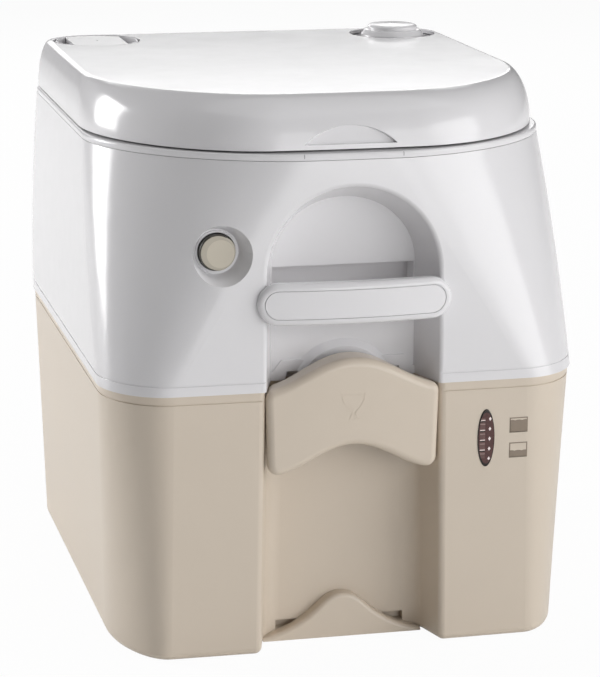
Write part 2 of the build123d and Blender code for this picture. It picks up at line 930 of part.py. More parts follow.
# Upper shell: outer wall and deck of the flush-water unit, with its recess, dish and towers' seats
shell_middle = (seam_height + rim_height) / 2
deck_bottom = rim_height - shell_wall
arch = arch_volume()
arch_shell = arch_volume(shell_wall)
trough = trough_volume()
trough_shell = trough_volume(shell_wall)
dish = dish_volume()
dish_shell = dish_volume(shell_wall)
panel_y = arch_depth - seam_front

bowl_y = -30.0
pump_outer = pump_bore_radius + pump_wall
strap_z = (strap_bottom + strap_top) / 2
peg_radius = 2.4
peg_x = strap_half_length - peg_radius - 0.6
peg_length = shell_wall + 3

with BuildPart() as shell_form:
    loft([shell_plan(height) for height in (seam_height, shell_middle, rim_height)])

with BuildPart() as shell_space:
    loft([shell_plan(height, -shell_wall) for height in (seam_height - 1, shell_middle, deck_bottom)])
    for wall in (arch_shell, trough_shell, dish_shell, latch_pocket_shell):
        add(wall, mode=Mode.SUBTRACT)

lip_base = seam_height
lip_wall = arch_back_half_width + shell_wall / 2


def lip_profile(offset, crown_half, crown, corners):
    """Outline over the valve opening: an arched crown, then corners down each side."""
    step = corners[0][1]
    with BuildSketch(Plane.XZ.offset(offset)) as profile:
        with BuildLine():
            ThreePointArc((-crown_half, step), (0, crown), (crown_half, step))
            for side in (1, -1):
                Polyline((side * crown_half, step), *[(side * x, z) for x, z in corners])
            Line((-corners[-1][0], corners[-1][1]), (corners[-1][0], corners[-1][1]))
        make_face()
    return profile.sketch


opening_corners = [
    (opening_half, seam_height + opening_step),
    (opening_half + 1, lip_base - 1),
]
band_corners = [
    (opening_half + lip_band * 0.45, seam_height + opening_step + lip_band),
    (opening_half + lip_band * 1.25, seam_height + opening_step),
    (lip_wall, seam_height + opening_step),
    (lip_wall, lip_base),
]
hood_base = seam_height + opening_step

with BuildPart() as upper_shell:
    add(shell_form.part)
    add(arch, mode=Mode.SUBTRACT)
    arch_rim = upper_shell.edges().filter_by(
        lambda edge: abs(edge.center().X) < arch_half_width + 3
        and edge.center().Y < panel_y - arch_depth / 2
        and edge.bounding_box().size.Z > 20
    )
    fillet(arch_rim, arch_edge_radius)
    add(trough, mode=Mode.SUBTRACT)
    add(dish, mode=Mode.SUBTRACT)
    line_base = seam_height + shell_line_rise
    line_ring = [shell_plan(line_base, grow) for grow in (line_width, -line_depth)]
    extrude(line_ring[0] - line_ring[1], amount=line_width, mode=Mode.SUBTRACT)
    add(shell_space.part, mode=Mode.SUBTRACT)
    band_crown = opening_crown + lip_band * 0.65
    band = lip_profile(-panel_y, opening_crown_half - 2, seam_height + band_crown, band_corners)
    extrude(band, amount=lip_proud)
    hood_front = lip_profile(
        hood_proud - panel_y,
        opening_crown_half + 4,
        seam_height + band_crown,
        [(opening_crown_half + 5, hood_base), (opening_crown_half + 5, hood_base - 2)],
    )
    hood_back = lip_profile(
        -panel_y,
        opening_crown_half + 4 + hood_proud * 1.6,
        seam_height + band_crown + hood_proud,
        [
            (opening_crown_half + 5 + hood_proud * 1.6, hood_base),
            (opening_crown_half + 5 + hood_proud * 1.6, hood_base - 2),
        ],
    )
    loft([hood_front, hood_back], ruled=True)
    opening = lip_profile(
        -panel_y - shell_wall,
        opening_crown_half,
        seam_height + opening_crown,
        opening_corners,
    )
    extrude(opening, amount=2 * shell_wall + hood_proud, mode=Mode.SUBTRACT)
    with BuildSketch(Plane.XY.offset(deck_bottom - 1)):
        with Locations((0, bowl_y)):
            Ellipse(bowl_half_width, bowl_half_length)
    extrude(amount=2 * shell_wall, mode=Mode.SUBTRACT)
    filler_hole = tube((-cap_x, cap_y), neck_bore_radius, 0, deck_bottom - 1, rim_height + 1)
    add(filler_hole, mode=Mode.SUBTRACT)
    pump_hole = tube((cap_x, cap_y), pump_outer, 0, deck_bottom - 1, rim_height + 1)
    add(pump_hole, mode=Mode.SUBTRACT)
    with BuildSketch(Plane.XZ.offset(dish_floor + 1)):
        with Locations((button_x, button_z)):
            Circle(ring_radius + turn_gap)
    extrude(amount=-shell_wall - 2, mode=Mode.SUBTRACT)
    with BuildSketch(Plane.YZ.offset(-latch_side - shell_wall)):
        with Locations((latch_pivot_y, latch_pivot_z)):
            Circle(latch_pin_radius)
    extrude(amount=2 * (latch_side + shell_wall), mode=Mode.SUBTRACT)
    with BuildSketch(Plane.XZ.offset(seam_front + 5)):
        with Locations([(side * peg_x, strap_z) for side in (1, -1)]):
            Circle(peg_radius)
    extrude(amount=-peg_length - 5, mode=Mode.SUBTRACT)
    add(latch_pocket, mode=Mode.SUBTRACT)


# Floor of the flush-water space, with the bowl's spigot through it
pan_top = pan_height + shell_wall
spigot_radius = valve_bore_radius + bowl_wall / 2
with BuildPart() as base_pan:
    loft([shell_plan(height, -shell_wall) for height in (pan_height, pan_top)], ruled=True)
    add(arch_shell, mode=Mode.SUBTRACT)
    add(latch_pocket_shell, mode=Mode.SUBTRACT)
    add(tube((0, valve_y), spigot_radius, 0, pan_height, pan_top), mode=Mode.SUBTRACT)
    add(upper_shell.part, mode=Mode.SUBTRACT)

# Bowl: a funnel from the deck down to the valve
bowl_throat = pan_top + 12
bowl_throat_radius = spigot_radius - bowl_wall


def bowl_form(grow):
    """Solid of the bowl's funnel, grown outwards."""
    with BuildPart() as form:
        with BuildSketch(Plane.XY.offset(deck_bottom)):
            with Locations((0, bowl_y)):
                Ellipse(bowl_half_width + grow, bowl_half_length + grow)
        with BuildSketch(Plane.XY.offset((deck_bottom + bowl_throat) / 2)):
            with Locations((0, (bowl_y + valve_y) / 2)):
                Ellipse(bowl_half_width * 0.82 + grow, bowl_half_length * 0.80 + grow)
        with BuildSketch(Plane.XY.offset(bowl_throat)):
            with Locations((0, valve_y)):
                Circle(bowl_throat_radius + bowl_throat_step + grow)
        loft()
    return form.part


with BuildPart() as bowl_space:
    add(bowl_form(0))
    with BuildSketch(Plane.XY.offset(deck_bottom)):
        with Locations((0, bowl_y)):
            Ellipse(bowl_half_width, bowl_half_length)
    extrude(amount=bowl_wall)
    add(tube((0, valve_y), bowl_throat_radius, 0, spigot_bottom - weld, bowl_throat + weld))


def strap_band(face, thickness, bottom, top):
    """Bowed band in front of the recess, from its face inwards."""
    half = strap_half_length + 1
    sag = strap_bow
    with BuildPart() as band:
        with BuildSketch(Plane.XY.offset(bottom)):
            with BuildLine():
                ThreePointArc((-half, sag - face), (0, -face), (half, sag - face))
                Line((half, sag - face), (half, sag - face + thickness))
                inner = thickness - face
                ThreePointArc((half, sag + inner), (0, inner), (-half, sag + inner))
                Line((-half, sag - face + thickness), (-half, sag - face))
            make_face()
        extrude(amount=top - bottom)
    return band.part


# Fixed carrying handle: a bowed strap across the recess, pegged to the columns beside it
strap_height = strap_top - strap_bottom
plate_height = strap_height - 2 * plate_margin
strap_front_plane = Plane.XZ.offset(strap_face + 5)
with BuildPart() as carrying_handle:
    add(strap_band(strap_face, strap_thickness, strap_bottom, strap_top))
    outline = stadium_plate(strap_half_length, strap_height, (0, strap_z), strap_front_plane, -40)
    add(outline, mode=Mode.INTERSECT)
    strap_rim = carrying_handle.faces().sort_by(Axis.Y)[0].edges()
    fillet(strap_rim, strap_edge_radius)
    add(shell_form.part, mode=Mode.SUBTRACT)
    pocket_band = strap_band(strap_face + 1, plate_thickness + 1, strap_bottom, strap_top)
    pocket_half = strap_half_length - plate_margin + plate_gap
    pocket_cut = stadium_plate(
        pocket_half, plate_height + 2 * plate_gap, (0, strap_z), strap_front_plane, -40
    )
    add(pocket_band & pocket_cut, mode=Mode.SUBTRACT)
    with BuildSketch(Plane.XZ.offset(seam_front - peg_length)):
        with Locations([(side * peg_x, strap_z) for side in (1, -1)]):
            Circle(peg_radius)
    extrude(amount=peg_length + plate_thickness)

with BuildPart() as handle_plate:
    add(strap_band(strap_face, plate_thickness, strap_bottom, strap_top))
    plate_half = strap_half_length - plate_margin
    outline = stadium_plate(plate_half, plate_height, (0, strap_z), strap_front_plane, -40)
    add(outline, mode=Mode.INTERSECT)

# Flush button: a sprung cap in a sleeve, with a rod to the flush valve
sleeve_back = button_face - sleeve_depth
sleeve_front = dish_floor + ring_proud
sleeve_seat = sleeve_back + sleeve_floor
valve_front = sleeve_back - sleeve_floor
button_spot = (button_x, button_z)


def button_rod(radius, front, back):
    """Rod about the flush button's axis between two distances from the middle."""
    with BuildPart() as rod:
        with BuildSketch(Plane.XZ.offset(front)):
            with Locations(button_spot):
                Circle(radius)
        extrude(amount=back - front)
    return rod.part


with BuildPart() as button_sleeve:
    add(button_rod(ring_radius, sleeve_front, sleeve_back))
    flange_front = dish_floor - shell_wall
    flange_back = flange_front - sleeve_wall
    add(button_rod(ring_radius + sleeve_flange, flange_front, flange_back))
    add(button_rod(ring_radius - sleeve_wall, sleeve_front, sleeve_seat), mode=Mode.SUBTRACT)
    bore = button_rod(button_rod_radius + turn_gap, sleeve_seat, sleeve_back)
    add(bore, mode=Mode.SUBTRACT)
    add(upper_shell.part, mode=Mode.SUBTRACT)

with BuildPart() as flush_button:
    button_back = button_face - button_height
    add(button_rod(button_radius, button_face, button_back))
    fillet(flush_button.edges().sort_by(Axis.Y)[0], 1.4)
    add(button_rod(button_rod_radius, button_back, valve_front - button_rod_dip))

with BuildPart() as button_spring:
    spring_plane = Plane((button_x, -sleeve_seat, button_z), z_dir=(0, -1, 0))
    add(spring(spring_plane, button_coil_radius, 3, spring_wire, button_back - sleeve_seat))

flush_valve_back = valve_front - flush_valve_length
hose_y = -(valve_front + flush_valve_back) / 2
hose_top = button_z + flush_valve_half_height
with BuildPart() as flush_valve:
    flush_body = block(
        button_x - flush_valve_half_width,
        button_x + flush_valve_half_width,
        -valve_front,
        -flush_valve_back,
        button_z - flush_valve_half_height,
        button_z + flush_valve_half_height,
    )
    add(flush_body)
    bore_back = valve_front - flush_valve_bore_depth
    add(button_rod(flush_valve_bore_radius, valve_front, bore_back), mode=Mode.SUBTRACT)
    barb_bottom = button_z - flush_valve_half_height - hose_barb_length
    add(tube((button_x, hose_y), hose_bore_radius, 0, hose_top, hose_top + hose_barb_length))
    add(tube((button_x, hose_y), hose_bore_radius, 0, barb_bottom, barb_bottom + hose_barb_length))

nozzle_x = -bowl_half_width - bowl_wall - weld
with BuildPart() as flush_hose:
    with BuildLine() as hose_path:
        FilletPolyline(
            (button_x, hose_y, hose_top),
            (button_x, hose_y, hose_height),
            (hose_bend_x, hose_bend_y, hose_height),
            (nozzle_x, nozzle_y, hose_height),
            radius=hose_bend_radius,
        )
    with BuildSketch(Plane(hose_path.line @ 0, z_dir=hose_path.line % 0)):
        Circle(hose_radius)
        Circle(hose_bore_radius, mode=Mode.SUBTRACT)
    sweep()

with BuildPart() as pickup_tube:
    pickup_bottom = pan_top + pickup_clearance
    pickup_top = button_z - flush_valve_half_height
    add(tube((button_x, hose_y), hose_radius, hose_bore_radius, pickup_bottom, pickup_top))

with BuildPart() as nozzle_form:
    with BuildSketch(Plane(hose_path.line @ 1, z_dir=hose_path.line % 1)):
        Circle(hose_radius)
    extrude(amount=nozzle_length)

with BuildPart() as rim_nozzle:
    add(nozzle_form.part)
    with BuildSketch(Plane(hose_path.line @ 1, z_dir=hose_path.line % 1)):
        Circle(nozzle_bore_radius)
    extrude(amount=nozzle_length, mode=Mode.SUBTRACT)
    add(bowl_form(0), mode=Mode.SUBTRACT)

with BuildPart() as bowl:
    add(bowl_form(bowl_wall))
    with BuildSketch(Plane.XY.offset(deck_bottom - bowl_wall)):
        with Locations((0, bowl_y)):
            Ellipse(bowl_half_width + bowl_flange, bowl_half_length + bowl_flange)
    extrude(amount=bowl_wall)
    add(tube((0, valve_y), spigot_radius, 0, spigot_bottom, bowl_throat + weld))
    add(bowl_space.part, mode=Mode.SUBTRACT)
    add(nozzle_form.part, mode=Mode.SUBTRACT)

# Filler neck and its cap, left of the rear deck
neck_flange = neck_radius + 9
with BuildPart() as filler_neck:
    add(tube((-cap_x, cap_y), neck_radius, neck_bore_radius, rim_height, neck_top))
    add(tube((-cap_x, cap_y), neck_flange, neck_radius - 1, rim_height, rim_height + 2))

cap_gasket_top = neck_top + gasket_thickness
cap_skirt_bottom = neck_top - 9
with BuildPart() as filler_gasket:
    add(tube((-cap_x, cap_y), neck_radius, neck_bore_radius, neck_top, cap_gasket_top))

with BuildPart() as filler_cap:
    add(tube((-cap_x, cap_y), neck_radius + 3.2, 0, cap_skirt_bottom, cap_top))
    add(tube((-cap_x, cap_y), cap_radius, 0, cap_gasket_top, cap_top))
    chamfer(filler_cap.edges().group_by(Axis.Z)[-1], 0.8)
    with BuildSketch(Plane.XY.offset(cap_top)):
        with Locations((-cap_x, cap_y)):
            Circle(cap_radius - 1.5)
            Rectangle(2 * cap_grip_half_width, 2 * cap_radius, mode=Mode.SUBTRACT)
    extrude(amount=cap_gasket_top + 2 - cap_top, mode=Mode.SUBTRACT)
    add(
        tube((-cap_x, cap_y), neck_radius + turn_gap, 0, cap_skirt_bottom, cap_gasket_top),
        mode=Mode.SUBTRACT,
    )
    with Locations((-cap_x, cap_y, cap_top)):
        Hole(1.2, depth=2)

# Flush pump, right of the rear deck: knob, rod and piston in a fixed barrel
gland_bottom = pump_head - 5
with BuildPart() as pump_barrel:
    add(tube((cap_x, cap_y), pump_outer, pump_bore_radius, pump_floor, pump_head))
    add(tube((cap_x, cap_y), pump_outer, 4, pump_floor - 3, pump_floor))
    add(tube((cap_x, cap_y), pump_outer + 8, pump_outer - 1, rim_height, rim_height + 2))

with BuildPart() as pump_gland:
    add(tube((cap_x, cap_y), pump_bore_radius, rod_radius + turn_gap, gland_bottom, pump_head))
    add(tube((cap_x, cap_y), pump_outer, rod_radius + turn_gap, pump_head, pump_head + 2))

collar_wall = 1.5
collar_radius = lid_hole_radius - 2.2
rib_inner = knob_radius + 1.6
with BuildPart() as pump_collar:
    collar_top = cap_top - 3
    collar_floor = knob_shoulder_height - 16
    add(tube((cap_x, cap_y), collar_radius, collar_radius - collar_wall, rim_height, collar_top))
    ledge = tube((cap_x, cap_y), collar_radius, knob_radius + 1, collar_floor - 2, collar_floor)
    add(ledge)
    with BuildSketch(Plane.XY.offset(collar_floor)):
        with Locations((cap_x, cap_y)):
            with PolarLocations((rib_inner + collar_radius - 0.5) / 2, 12, start_angle=15):
                Rectangle(collar_radius - 0.5 - rib_inner, 1.4)
    extrude(amount=collar_top - collar_floor - 1)

piston_top = gland_bottom - 6
piston_bottom = piston_top - 8
pump_axis = Axis((cap_x, cap_y, 0), (0, 0, 1))
pump_plane = Plane((cap_x, cap_y, 0), x_dir=(1, 0, 0), z_dir=(0, -1, 0))
knob_roof = knob_step_height - 2.4
knob_skirt = knob_shoulder_height - 15
with BuildPart() as pump_knob:
    with BuildSketch(pump_plane):
        with BuildLine():
            Polyline(
                (0, knob_top),
                (knob_disc_radius - 1.6, knob_top - 0.6),
                (knob_disc_radius, knob_top - 2),
                (knob_disc_radius, knob_step_height),
                (knob_disc_radius + 2.6, knob_step_height - 0.4),
                (knob_radius - 0.6, knob_shoulder_height + 0.8),
                (knob_radius, knob_shoulder_height - 1.6),
                (knob_radius, knob_skirt),
                (knob_radius - 2.2, knob_skirt),
                (knob_radius - 2.2, knob_shoulder_height - 4),
                (knob_disc_radius - 2, knob_roof),
                (0, knob_roof),
                close=True,
            )
        make_face()
    revolve(axis=pump_axis)
    with Locations((cap_x, cap_y, knob_top)):
        Hole(1.3, depth=1.6)

with BuildPart() as pump_rod:
    add(tube((cap_x, cap_y), rod_radius, 0, piston_bottom, knob_roof))
    add(tube((cap_x, cap_y), pump_bore_radius - contact_gap, 0, piston_bottom, piston_top))
    groove = tube(
        (cap_x, cap_y),
        pump_bore_radius + 1,
        pump_bore_radius - 2.5,
        piston_bottom + 2.5,
        piston_top - 2.5,
    )
    add(groove, mode=Mode.SUBTRACT)

with BuildPart() as piston_seal:
    ring = tube(
        (cap_x, cap_y),
        pump_bore_radius - turn_gap,
        pump_bore_radius - 2.5,
        piston_bottom + 2.5,
        piston_top - 2.5,
    )
    add(ring)

with BuildPart() as pump_spring:
    pump_stand = Plane((cap_x, cap_y, pump_head + 2))
    add(spring(pump_stand, 11, 5, spring_wire, knob_roof - pump_head - 2))


def tower_slot(bottom, top):
    """Clearance round both rear towers, drawn out forwards for the swing about the hinge."""
    with BuildPart() as space:
        for side in (1, -1):
            with BuildSketch(Plane.XY.offset(bottom)):
                with Locations((side * cap_x, cap_y)):
                    Circle(lid_hole_radius + 0.4)
                with Locations((side * cap_x, cap_y - 9)):
                    Circle(lid_hole_radius + 0.4)
                with Locations((side * cap_x, cap_y - 4.5)):
                    Rectangle(2 * lid_hole_radius + 0.8, 9)
            extrude(amount=top - bottom)
    return space.part


def hinge_eyes(places, half_reach, arm_bottom, arm_top):
    """Hinge eyes on the common axis, each with an arm forward to its plate."""
    with BuildPart() as eyes:
        for place in places:
            with BuildSketch(Plane.YZ.offset(place - eye_length / 2)):
                with Locations((hinge_y, hinge_z)):
                    Circle(hinge_eye_radius)
                with Locations((hinge_y - half_reach, (arm_bottom + arm_top) / 2)):
                    Rectangle(2 * half_reach, arm_top - arm_bottom)
                with Locations((hinge_y, hinge_z)):
                    Circle(hinge_pin_radius + turn_gap, mode=Mode.SUBTRACT)
            extrude(amount=eye_length)
    return eyes.part


bumper_depth = 2.5
grip_half_width = 31.0
grip_height = 12.5
grip_bottom = lid_foot_height + 3.2
grip_depth = 4.0
grip_flare = 4.0
with BuildPart() as hinge_bore_solid:
    with BuildSketch(Plane.YZ.offset(-2 * hinge_x)):
        with Locations((hinge_y, hinge_z)):
            Circle(hinge_pin_radius + turn_gap)
    extrude(amount=4 * hinge_x)
hinge_bore = hinge_bore_solid.part

# Seat: a rim plate with a raised ring round the opening, hinged at the rear
seat_bottom = rim_height + seat_gap
seat_top = seat_bottom + seat_plate
seat_ring_top = seat_top + seat_ring_height
bumper_spots = [(side * 146.0, row) for side in (1, -1) for row in (-60.0, 70.0)]
seat_eye_places = [-hinge_x - eye_length / 2 - 0.5, hinge_x - eye_length / 2 - 0.5]
lid_eye_places = [-hinge_x + eye_length / 2 + 0.5, hinge_x + eye_length / 2 + 0.5]


def seat_plan(height, grow=0.0):
    """Plan of the seat: the rim's outline, cut short behind for the hinge."""
    return plan_outline(
        height,
        rim_half_width + grow,
        rim_front + grow,
        lid_back + grow,
        rim_corner_width + grow,
        rim_corner_depth + grow,
        rim_bow,
        rear_corner_radius + grow,
    )


with BuildPart() as seat:
    extrude(seat_plan(seat_bottom), amount=seat_plate)
    seat_edge = seat.edges().group_by(Axis.Z)[-1]
    fillet(seat_edge, seat_edge_radius)
    with BuildSketch(Plane.XY.offset(seat_top)):
        with Locations((0, seat_y)):
            Ellipse(seat_ring_half_width, seat_ring_half_length)
    extrude(amount=seat_ring_height)
    with BuildSketch(Plane.XY.offset(seat_bottom)):
        with Locations((0, seat_y)):
            Ellipse(seat_hole_half_width, seat_hole_half_length)
    extrude(amount=seat_plate + seat_ring_height, mode=Mode.SUBTRACT)
    fillet(seat.edges().group_by(Axis.Z)[-1], seat_ring_height * 0.6)
    with BuildSketch(Plane.XY.offset(seat_bottom)):
        with Locations((0, seat_y)):
            hollow_rim = seat_ring_height
            Ellipse(seat_ring_half_width - hollow_rim, seat_ring_half_length - hollow_rim)
            Ellipse(
                seat_hole_half_width + hollow_rim, seat_hole_half_length + hollow_rim, mode=Mode.SUBTRACT
            )
    extrude(amount=seat_ring_height, mode=Mode.SUBTRACT)
    add(tower_slot(seat_bottom - 1, seat_top + 1), mode=Mode.SUBTRACT)
    add(hinge_eyes(seat_eye_places, hinge_y - lid_back + 1.5, seat_bottom, seat_top))
    add(hinge_bore, mode=Mode.SUBTRACT)
    with Locations([(x, y, seat_bottom) for x, y in bumper_spots]):
        Cylinder(
            bumper_radius, bumper_depth, align=(Align.CENTER, Align.CENTER, Align.MIN), mode=Mode.SUBTRACT
        )

with BuildPart() as seat_bumpers:
    with Locations([(x, y, rim_height) for x, y in bumper_spots]):
        Cylinder(bumper_radius, seat_gap + bumper_depth, align=(Align.CENTER, Align.CENTER, Align.MIN))

# Lid: a domed cover with holes for the rear towers and a finger recess in front
lid_rises = (0.45, 0.75, 0.93, 0.985)
lid_top = share_of(lid_foot_height, lid_shoulder_height, lid_rises[-1])
lid_roof = lid_top - lid_wall
roof_rise = (lid_roof - lid_foot_height) / (lid_shoulder_height - lid_foot_height)

def grip_volume(grow):
    """Crescent finger recess in the lid's front, grown into the lid."""
    face_y = lid_foot_front + 4
    floor_y = lid_foot_front - grip_depth - grow
    with BuildPart() as space:
        for offset, flare in ((face_y, grip_flare), (floor_y, 0)):
            with BuildSketch(Plane.XZ.offset(offset)):
                half = grip_half_width + flare + grow
                with BuildLine():
                    ThreePointArc(
                        (-half, grip_bottom - grow),
                        (0, grip_bottom + grip_height + flare + grow),
                        (half, grip_bottom - grow),
                    )
                    Line((-half, grip_bottom - grow), (half, grip_bottom - grow))
                make_face()
        loft(ruled=True)
    return space.part


grip = grip_volume(0)
grip_shell = grip_volume(lid_wall)
lid_boss_spots = [(side * 150.0, row) for side in (1, -1) for row in (-30.0, 60.0)]
lid_boss_bottom = seat_top + 3
with BuildPart() as lid_space:
    loft([lid_plan(rise, -lid_wall) for rise in (0, lid_rises[0], lid_rises[1], roof_rise)])
    extrude(lid_plan(0, -lid_wall), amount=-1)
    add(grip_shell, mode=Mode.SUBTRACT)
    for spot in lid_boss_spots:
        add(tube(spot, bumper_radius, 0, lid_boss_bottom, lid_top), mode=Mode.SUBTRACT)

with BuildPart() as lid:
    loft([lid_plan(rise) for rise in (0,) + lid_rises])
    fillet(lid.edges().group_by(Axis.Z)[-1], lid_edge_radius)
    add(grip, mode=Mode.SUBTRACT)
    add(lid_space.part, mode=Mode.SUBTRACT)
    for side in (1, -1):
        hole = tube((side * cap_x, cap_y), lid_hole_radius, 0, lid_roof - 8, lid_top + 1)
        add(hole, mode=Mode.SUBTRACT)
    lid_arm = lid_foot_height + lid_wall
    add(hinge_eyes(lid_eye_places, hinge_y - lid_back + 1.5, lid_foot_height, lid_arm))
    add(hinge_bore, mode=Mode.SUBTRACT)

with BuildPart() as lid_bumpers:
    for spot in lid_boss_spots:
        add(tube(spot, bumper_radius - 0.5, 0, seat_top, lid_boss_bottom))

# Hinge brackets on the back of the upper shell, with their pins
ear_length = 6.0
ear_gap = 1.5
ear_inner = hinge_x - eye_length - ear_gap - ear_length
ear_outer = hinge_x + eye_length + ear_gap
bracket_length = ear_outer + ear_length - ear_inner
leg_depth = 8.0
leg_height = 20.0
foot_depth = 6.0
foot_height = 10.0
with BuildPart() as hinge_brackets:
    for start in (ear_inner, ear_outer, -ear_inner - ear_length, -ear_outer - ear_length):
        with BuildSketch(Plane.YZ.offset(start)):
            with Locations((hinge_y, hinge_z)):
                Circle(hinge_eye_radius)
            with Locations((hinge_y - 1.2, hinge_z - leg_height * 0.6)):
                Rectangle(leg_depth, leg_height)
        extrude(amount=ear_length)
    for start in (ear_inner, -ear_outer - ear_length):
        with BuildSketch(Plane.YZ.offset(start)):
            with Locations((hinge_y - ear_gap, hinge_z - leg_height * 0.85)):
                Rectangle(foot_depth, foot_height)
        extrude(amount=bracket_length)
    add(shell_form.part, mode=Mode.SUBTRACT)
    add(hinge_bore, mode=Mode.SUBTRACT)

pin_head_length = 1.5
pin_head_radius = hinge_pin_radius + 1.4
with BuildPart() as hinge_pins:
    for start in (ear_inner, -ear_outer - ear_length):
        with BuildSketch(Plane.YZ.offset(start)):
            with Locations((hinge_y, hinge_z)):
                Circle(hinge_pin_radius)
        extrude(amount=bracket_length)
        for head in (start - pin_head_length, start + bracket_length):
            with BuildSketch(Plane.YZ.offset(head)):
                with Locations((hinge_y, hinge_z)):
                    Circle(pin_head_radius)
            extrude(amount=pin_head_length)

# Rear latch: a lever on a cross pin that hooks under the tank's catch
lever_front = latch_front_y + latch_catch_depth + contact_gap
with BuildPart() as latch_pin:
    with BuildSketch(Plane.YZ.offset(-latch_side - shell_wall)):
        with Locations((latch_pivot_y, latch_pivot_z)):
            Circle(latch_pin_radius)
    extrude(amount=2 * (latch_side + shell_wall))

with BuildPart() as latch_lever:
    with BuildSketch(Plane.YZ.offset(-latch_half_width)):
        with BuildLine():
            tip = latch_pocket_bottom + 4
            Polyline(
                (lever_front, latch_pivot_z),
                (lever_front, tip + 6),
                (lever_front + 2, tip),
                (lever_front + 2 + latch_thickness, tip),
                (lever_front + latch_thickness, tip + 7),
                (lever_front + latch_thickness, latch_pivot_z),
                close=True,
            )
        make_face()
        with Locations((latch_pivot_y, latch_pivot_z)):
            Circle(latch_pin_radius + 2.4)
            Circle(latch_pin_radius + turn_gap, mode=Mode.SUBTRACT)
    extrude(amount=2 * latch_half_width)
    hook = block(
        -latch_half_width + 8,
        latch_half_width - 8,
        latch_front_y + 1,
        lever_front + 1,
        latch_hook_z - contact_gap - latch_thickness,
        latch_hook_z - contact_gap,
    )
    add(hook)

pieces = {
    "waste_tank": waste_tank,
    "valve_base": valve_base,
    "valve_cover": valve_cover,
    "valve_screws": valve_screws,
    "valve_seal_lower": valve_seal_lower,
    "valve_seal_upper": valve_seal_upper,
    "bowl_seal": bowl_seal,
    "valve_blade": valve_blade,
    "valve_handle": valve_handle,
    "handle_pins": handle_pins,
    "spout_gasket": spout_gasket,
    "spout_elbow": spout_elbow,
    "spout_cap": spout_cap,
    "spout_cap_seal": spout_cap_seal,
    "vent_cup": vent_cup,
    "vent_button": vent_button,
    "vent_seal": vent_seal,
    "vent_spring": vent_spring,
    "gauge_gasket": gauge_gasket,
    "gauge_lens": gauge_lens,
    "upper_shell": upper_shell,
    "base_pan": base_pan,
    "bowl": bowl,
    "carrying_handle": carrying_handle,
    "handle_plate": handle_plate,
    "button_sleeve": button_sleeve,
    "flush_button": flush_button,
    "button_spring": button_spring,
    "flush_valve": flush_valve,
    "flush_hose": flush_hose,
    "pickup_tube": pickup_tube,
    "rim_nozzle": rim_nozzle,
    "filler_neck": filler_neck,
    "filler_gasket": filler_gasket,
    "filler_cap": filler_cap,
    "pump_barrel": pump_barrel,
    "pump_gland": pump_gland,
    "pump_collar": pump_collar,
    "pump_knob": pump_knob,
    "pump_rod": pump_rod,
    "piston_seal": piston_seal,
    "pump_spring": pump_spring,
    "seat": seat,
    "seat_bumpers": seat_bumpers,
    "lid": lid,
    "lid_bumpers": lid_bumpers,
    "hinge_brackets": hinge_brackets,
    "hinge_pins": hinge_pins,
    "latch_pin": latch_pin,
    "latch_lever": latch_lever,
}
for name, piece in pieces.items():
    piece.part.label = name
    export_step(piece.part, f"parts/{name}.step")
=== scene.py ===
import json
import math

import bpy
from bpy.props import FloatProperty, FloatVectorProperty, PointerProperty
from mathutils import Euler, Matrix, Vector


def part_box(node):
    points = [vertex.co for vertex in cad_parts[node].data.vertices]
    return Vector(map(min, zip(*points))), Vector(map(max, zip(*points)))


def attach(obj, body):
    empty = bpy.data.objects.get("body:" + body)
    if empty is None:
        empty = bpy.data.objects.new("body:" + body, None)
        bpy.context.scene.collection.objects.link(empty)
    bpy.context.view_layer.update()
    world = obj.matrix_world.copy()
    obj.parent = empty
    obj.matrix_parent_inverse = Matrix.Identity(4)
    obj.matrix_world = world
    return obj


bl_info = {
    "name": "Portable Toilet",
    "version": (1, 0, 0),
    "blender": (4, 5, 0),
    "location": "View3D > Sidebar > Toilet",
    "description": "Finishes, markings and studio for a two-part portable toilet",
    "category": "Object",
}

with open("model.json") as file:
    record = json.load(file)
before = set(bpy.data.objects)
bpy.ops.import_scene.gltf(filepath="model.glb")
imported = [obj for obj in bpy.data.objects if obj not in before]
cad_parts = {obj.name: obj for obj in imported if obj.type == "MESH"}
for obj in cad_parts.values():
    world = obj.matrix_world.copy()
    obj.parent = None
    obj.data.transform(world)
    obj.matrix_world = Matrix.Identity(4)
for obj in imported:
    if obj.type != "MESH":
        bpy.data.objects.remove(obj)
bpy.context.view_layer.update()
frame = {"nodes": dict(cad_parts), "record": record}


# Shader maths as plain expressions


class Shade:
    """A number, colour, vector or shader on its way through a node tree."""

    def __init__(self, wiring, socket):
        self.wiring = wiring
        self.socket = socket

    def maths(self, operation, *values):
        return self.wiring.node("ShaderNodeMath", {"operation": operation}, values)

    def __add__(self, other):
        return self.maths("ADD", self, other)

    def __radd__(self, other):
        return self.maths("ADD", other, self)

    def __sub__(self, other):
        return self.maths("SUBTRACT", self, other)

    def __rsub__(self, other):
        return self.maths("SUBTRACT", other, self)

    def __mul__(self, other):
        return self.maths("MULTIPLY", self, other)

    def __rmul__(self, other):
        return self.maths("MULTIPLY", other, self)

    def __truediv__(self, other):
        return self.maths("DIVIDE", self, other)

    def __lt__(self, other):
        return self.maths("LESS_THAN", self, other)

    def __gt__(self, other):
        return self.maths("GREATER_THAN", self, other)

    def __abs__(self):
        return self.maths("ABSOLUTE", self)

    def wrapped(self, low, high):
        return self.maths("WRAP", self, high, low)


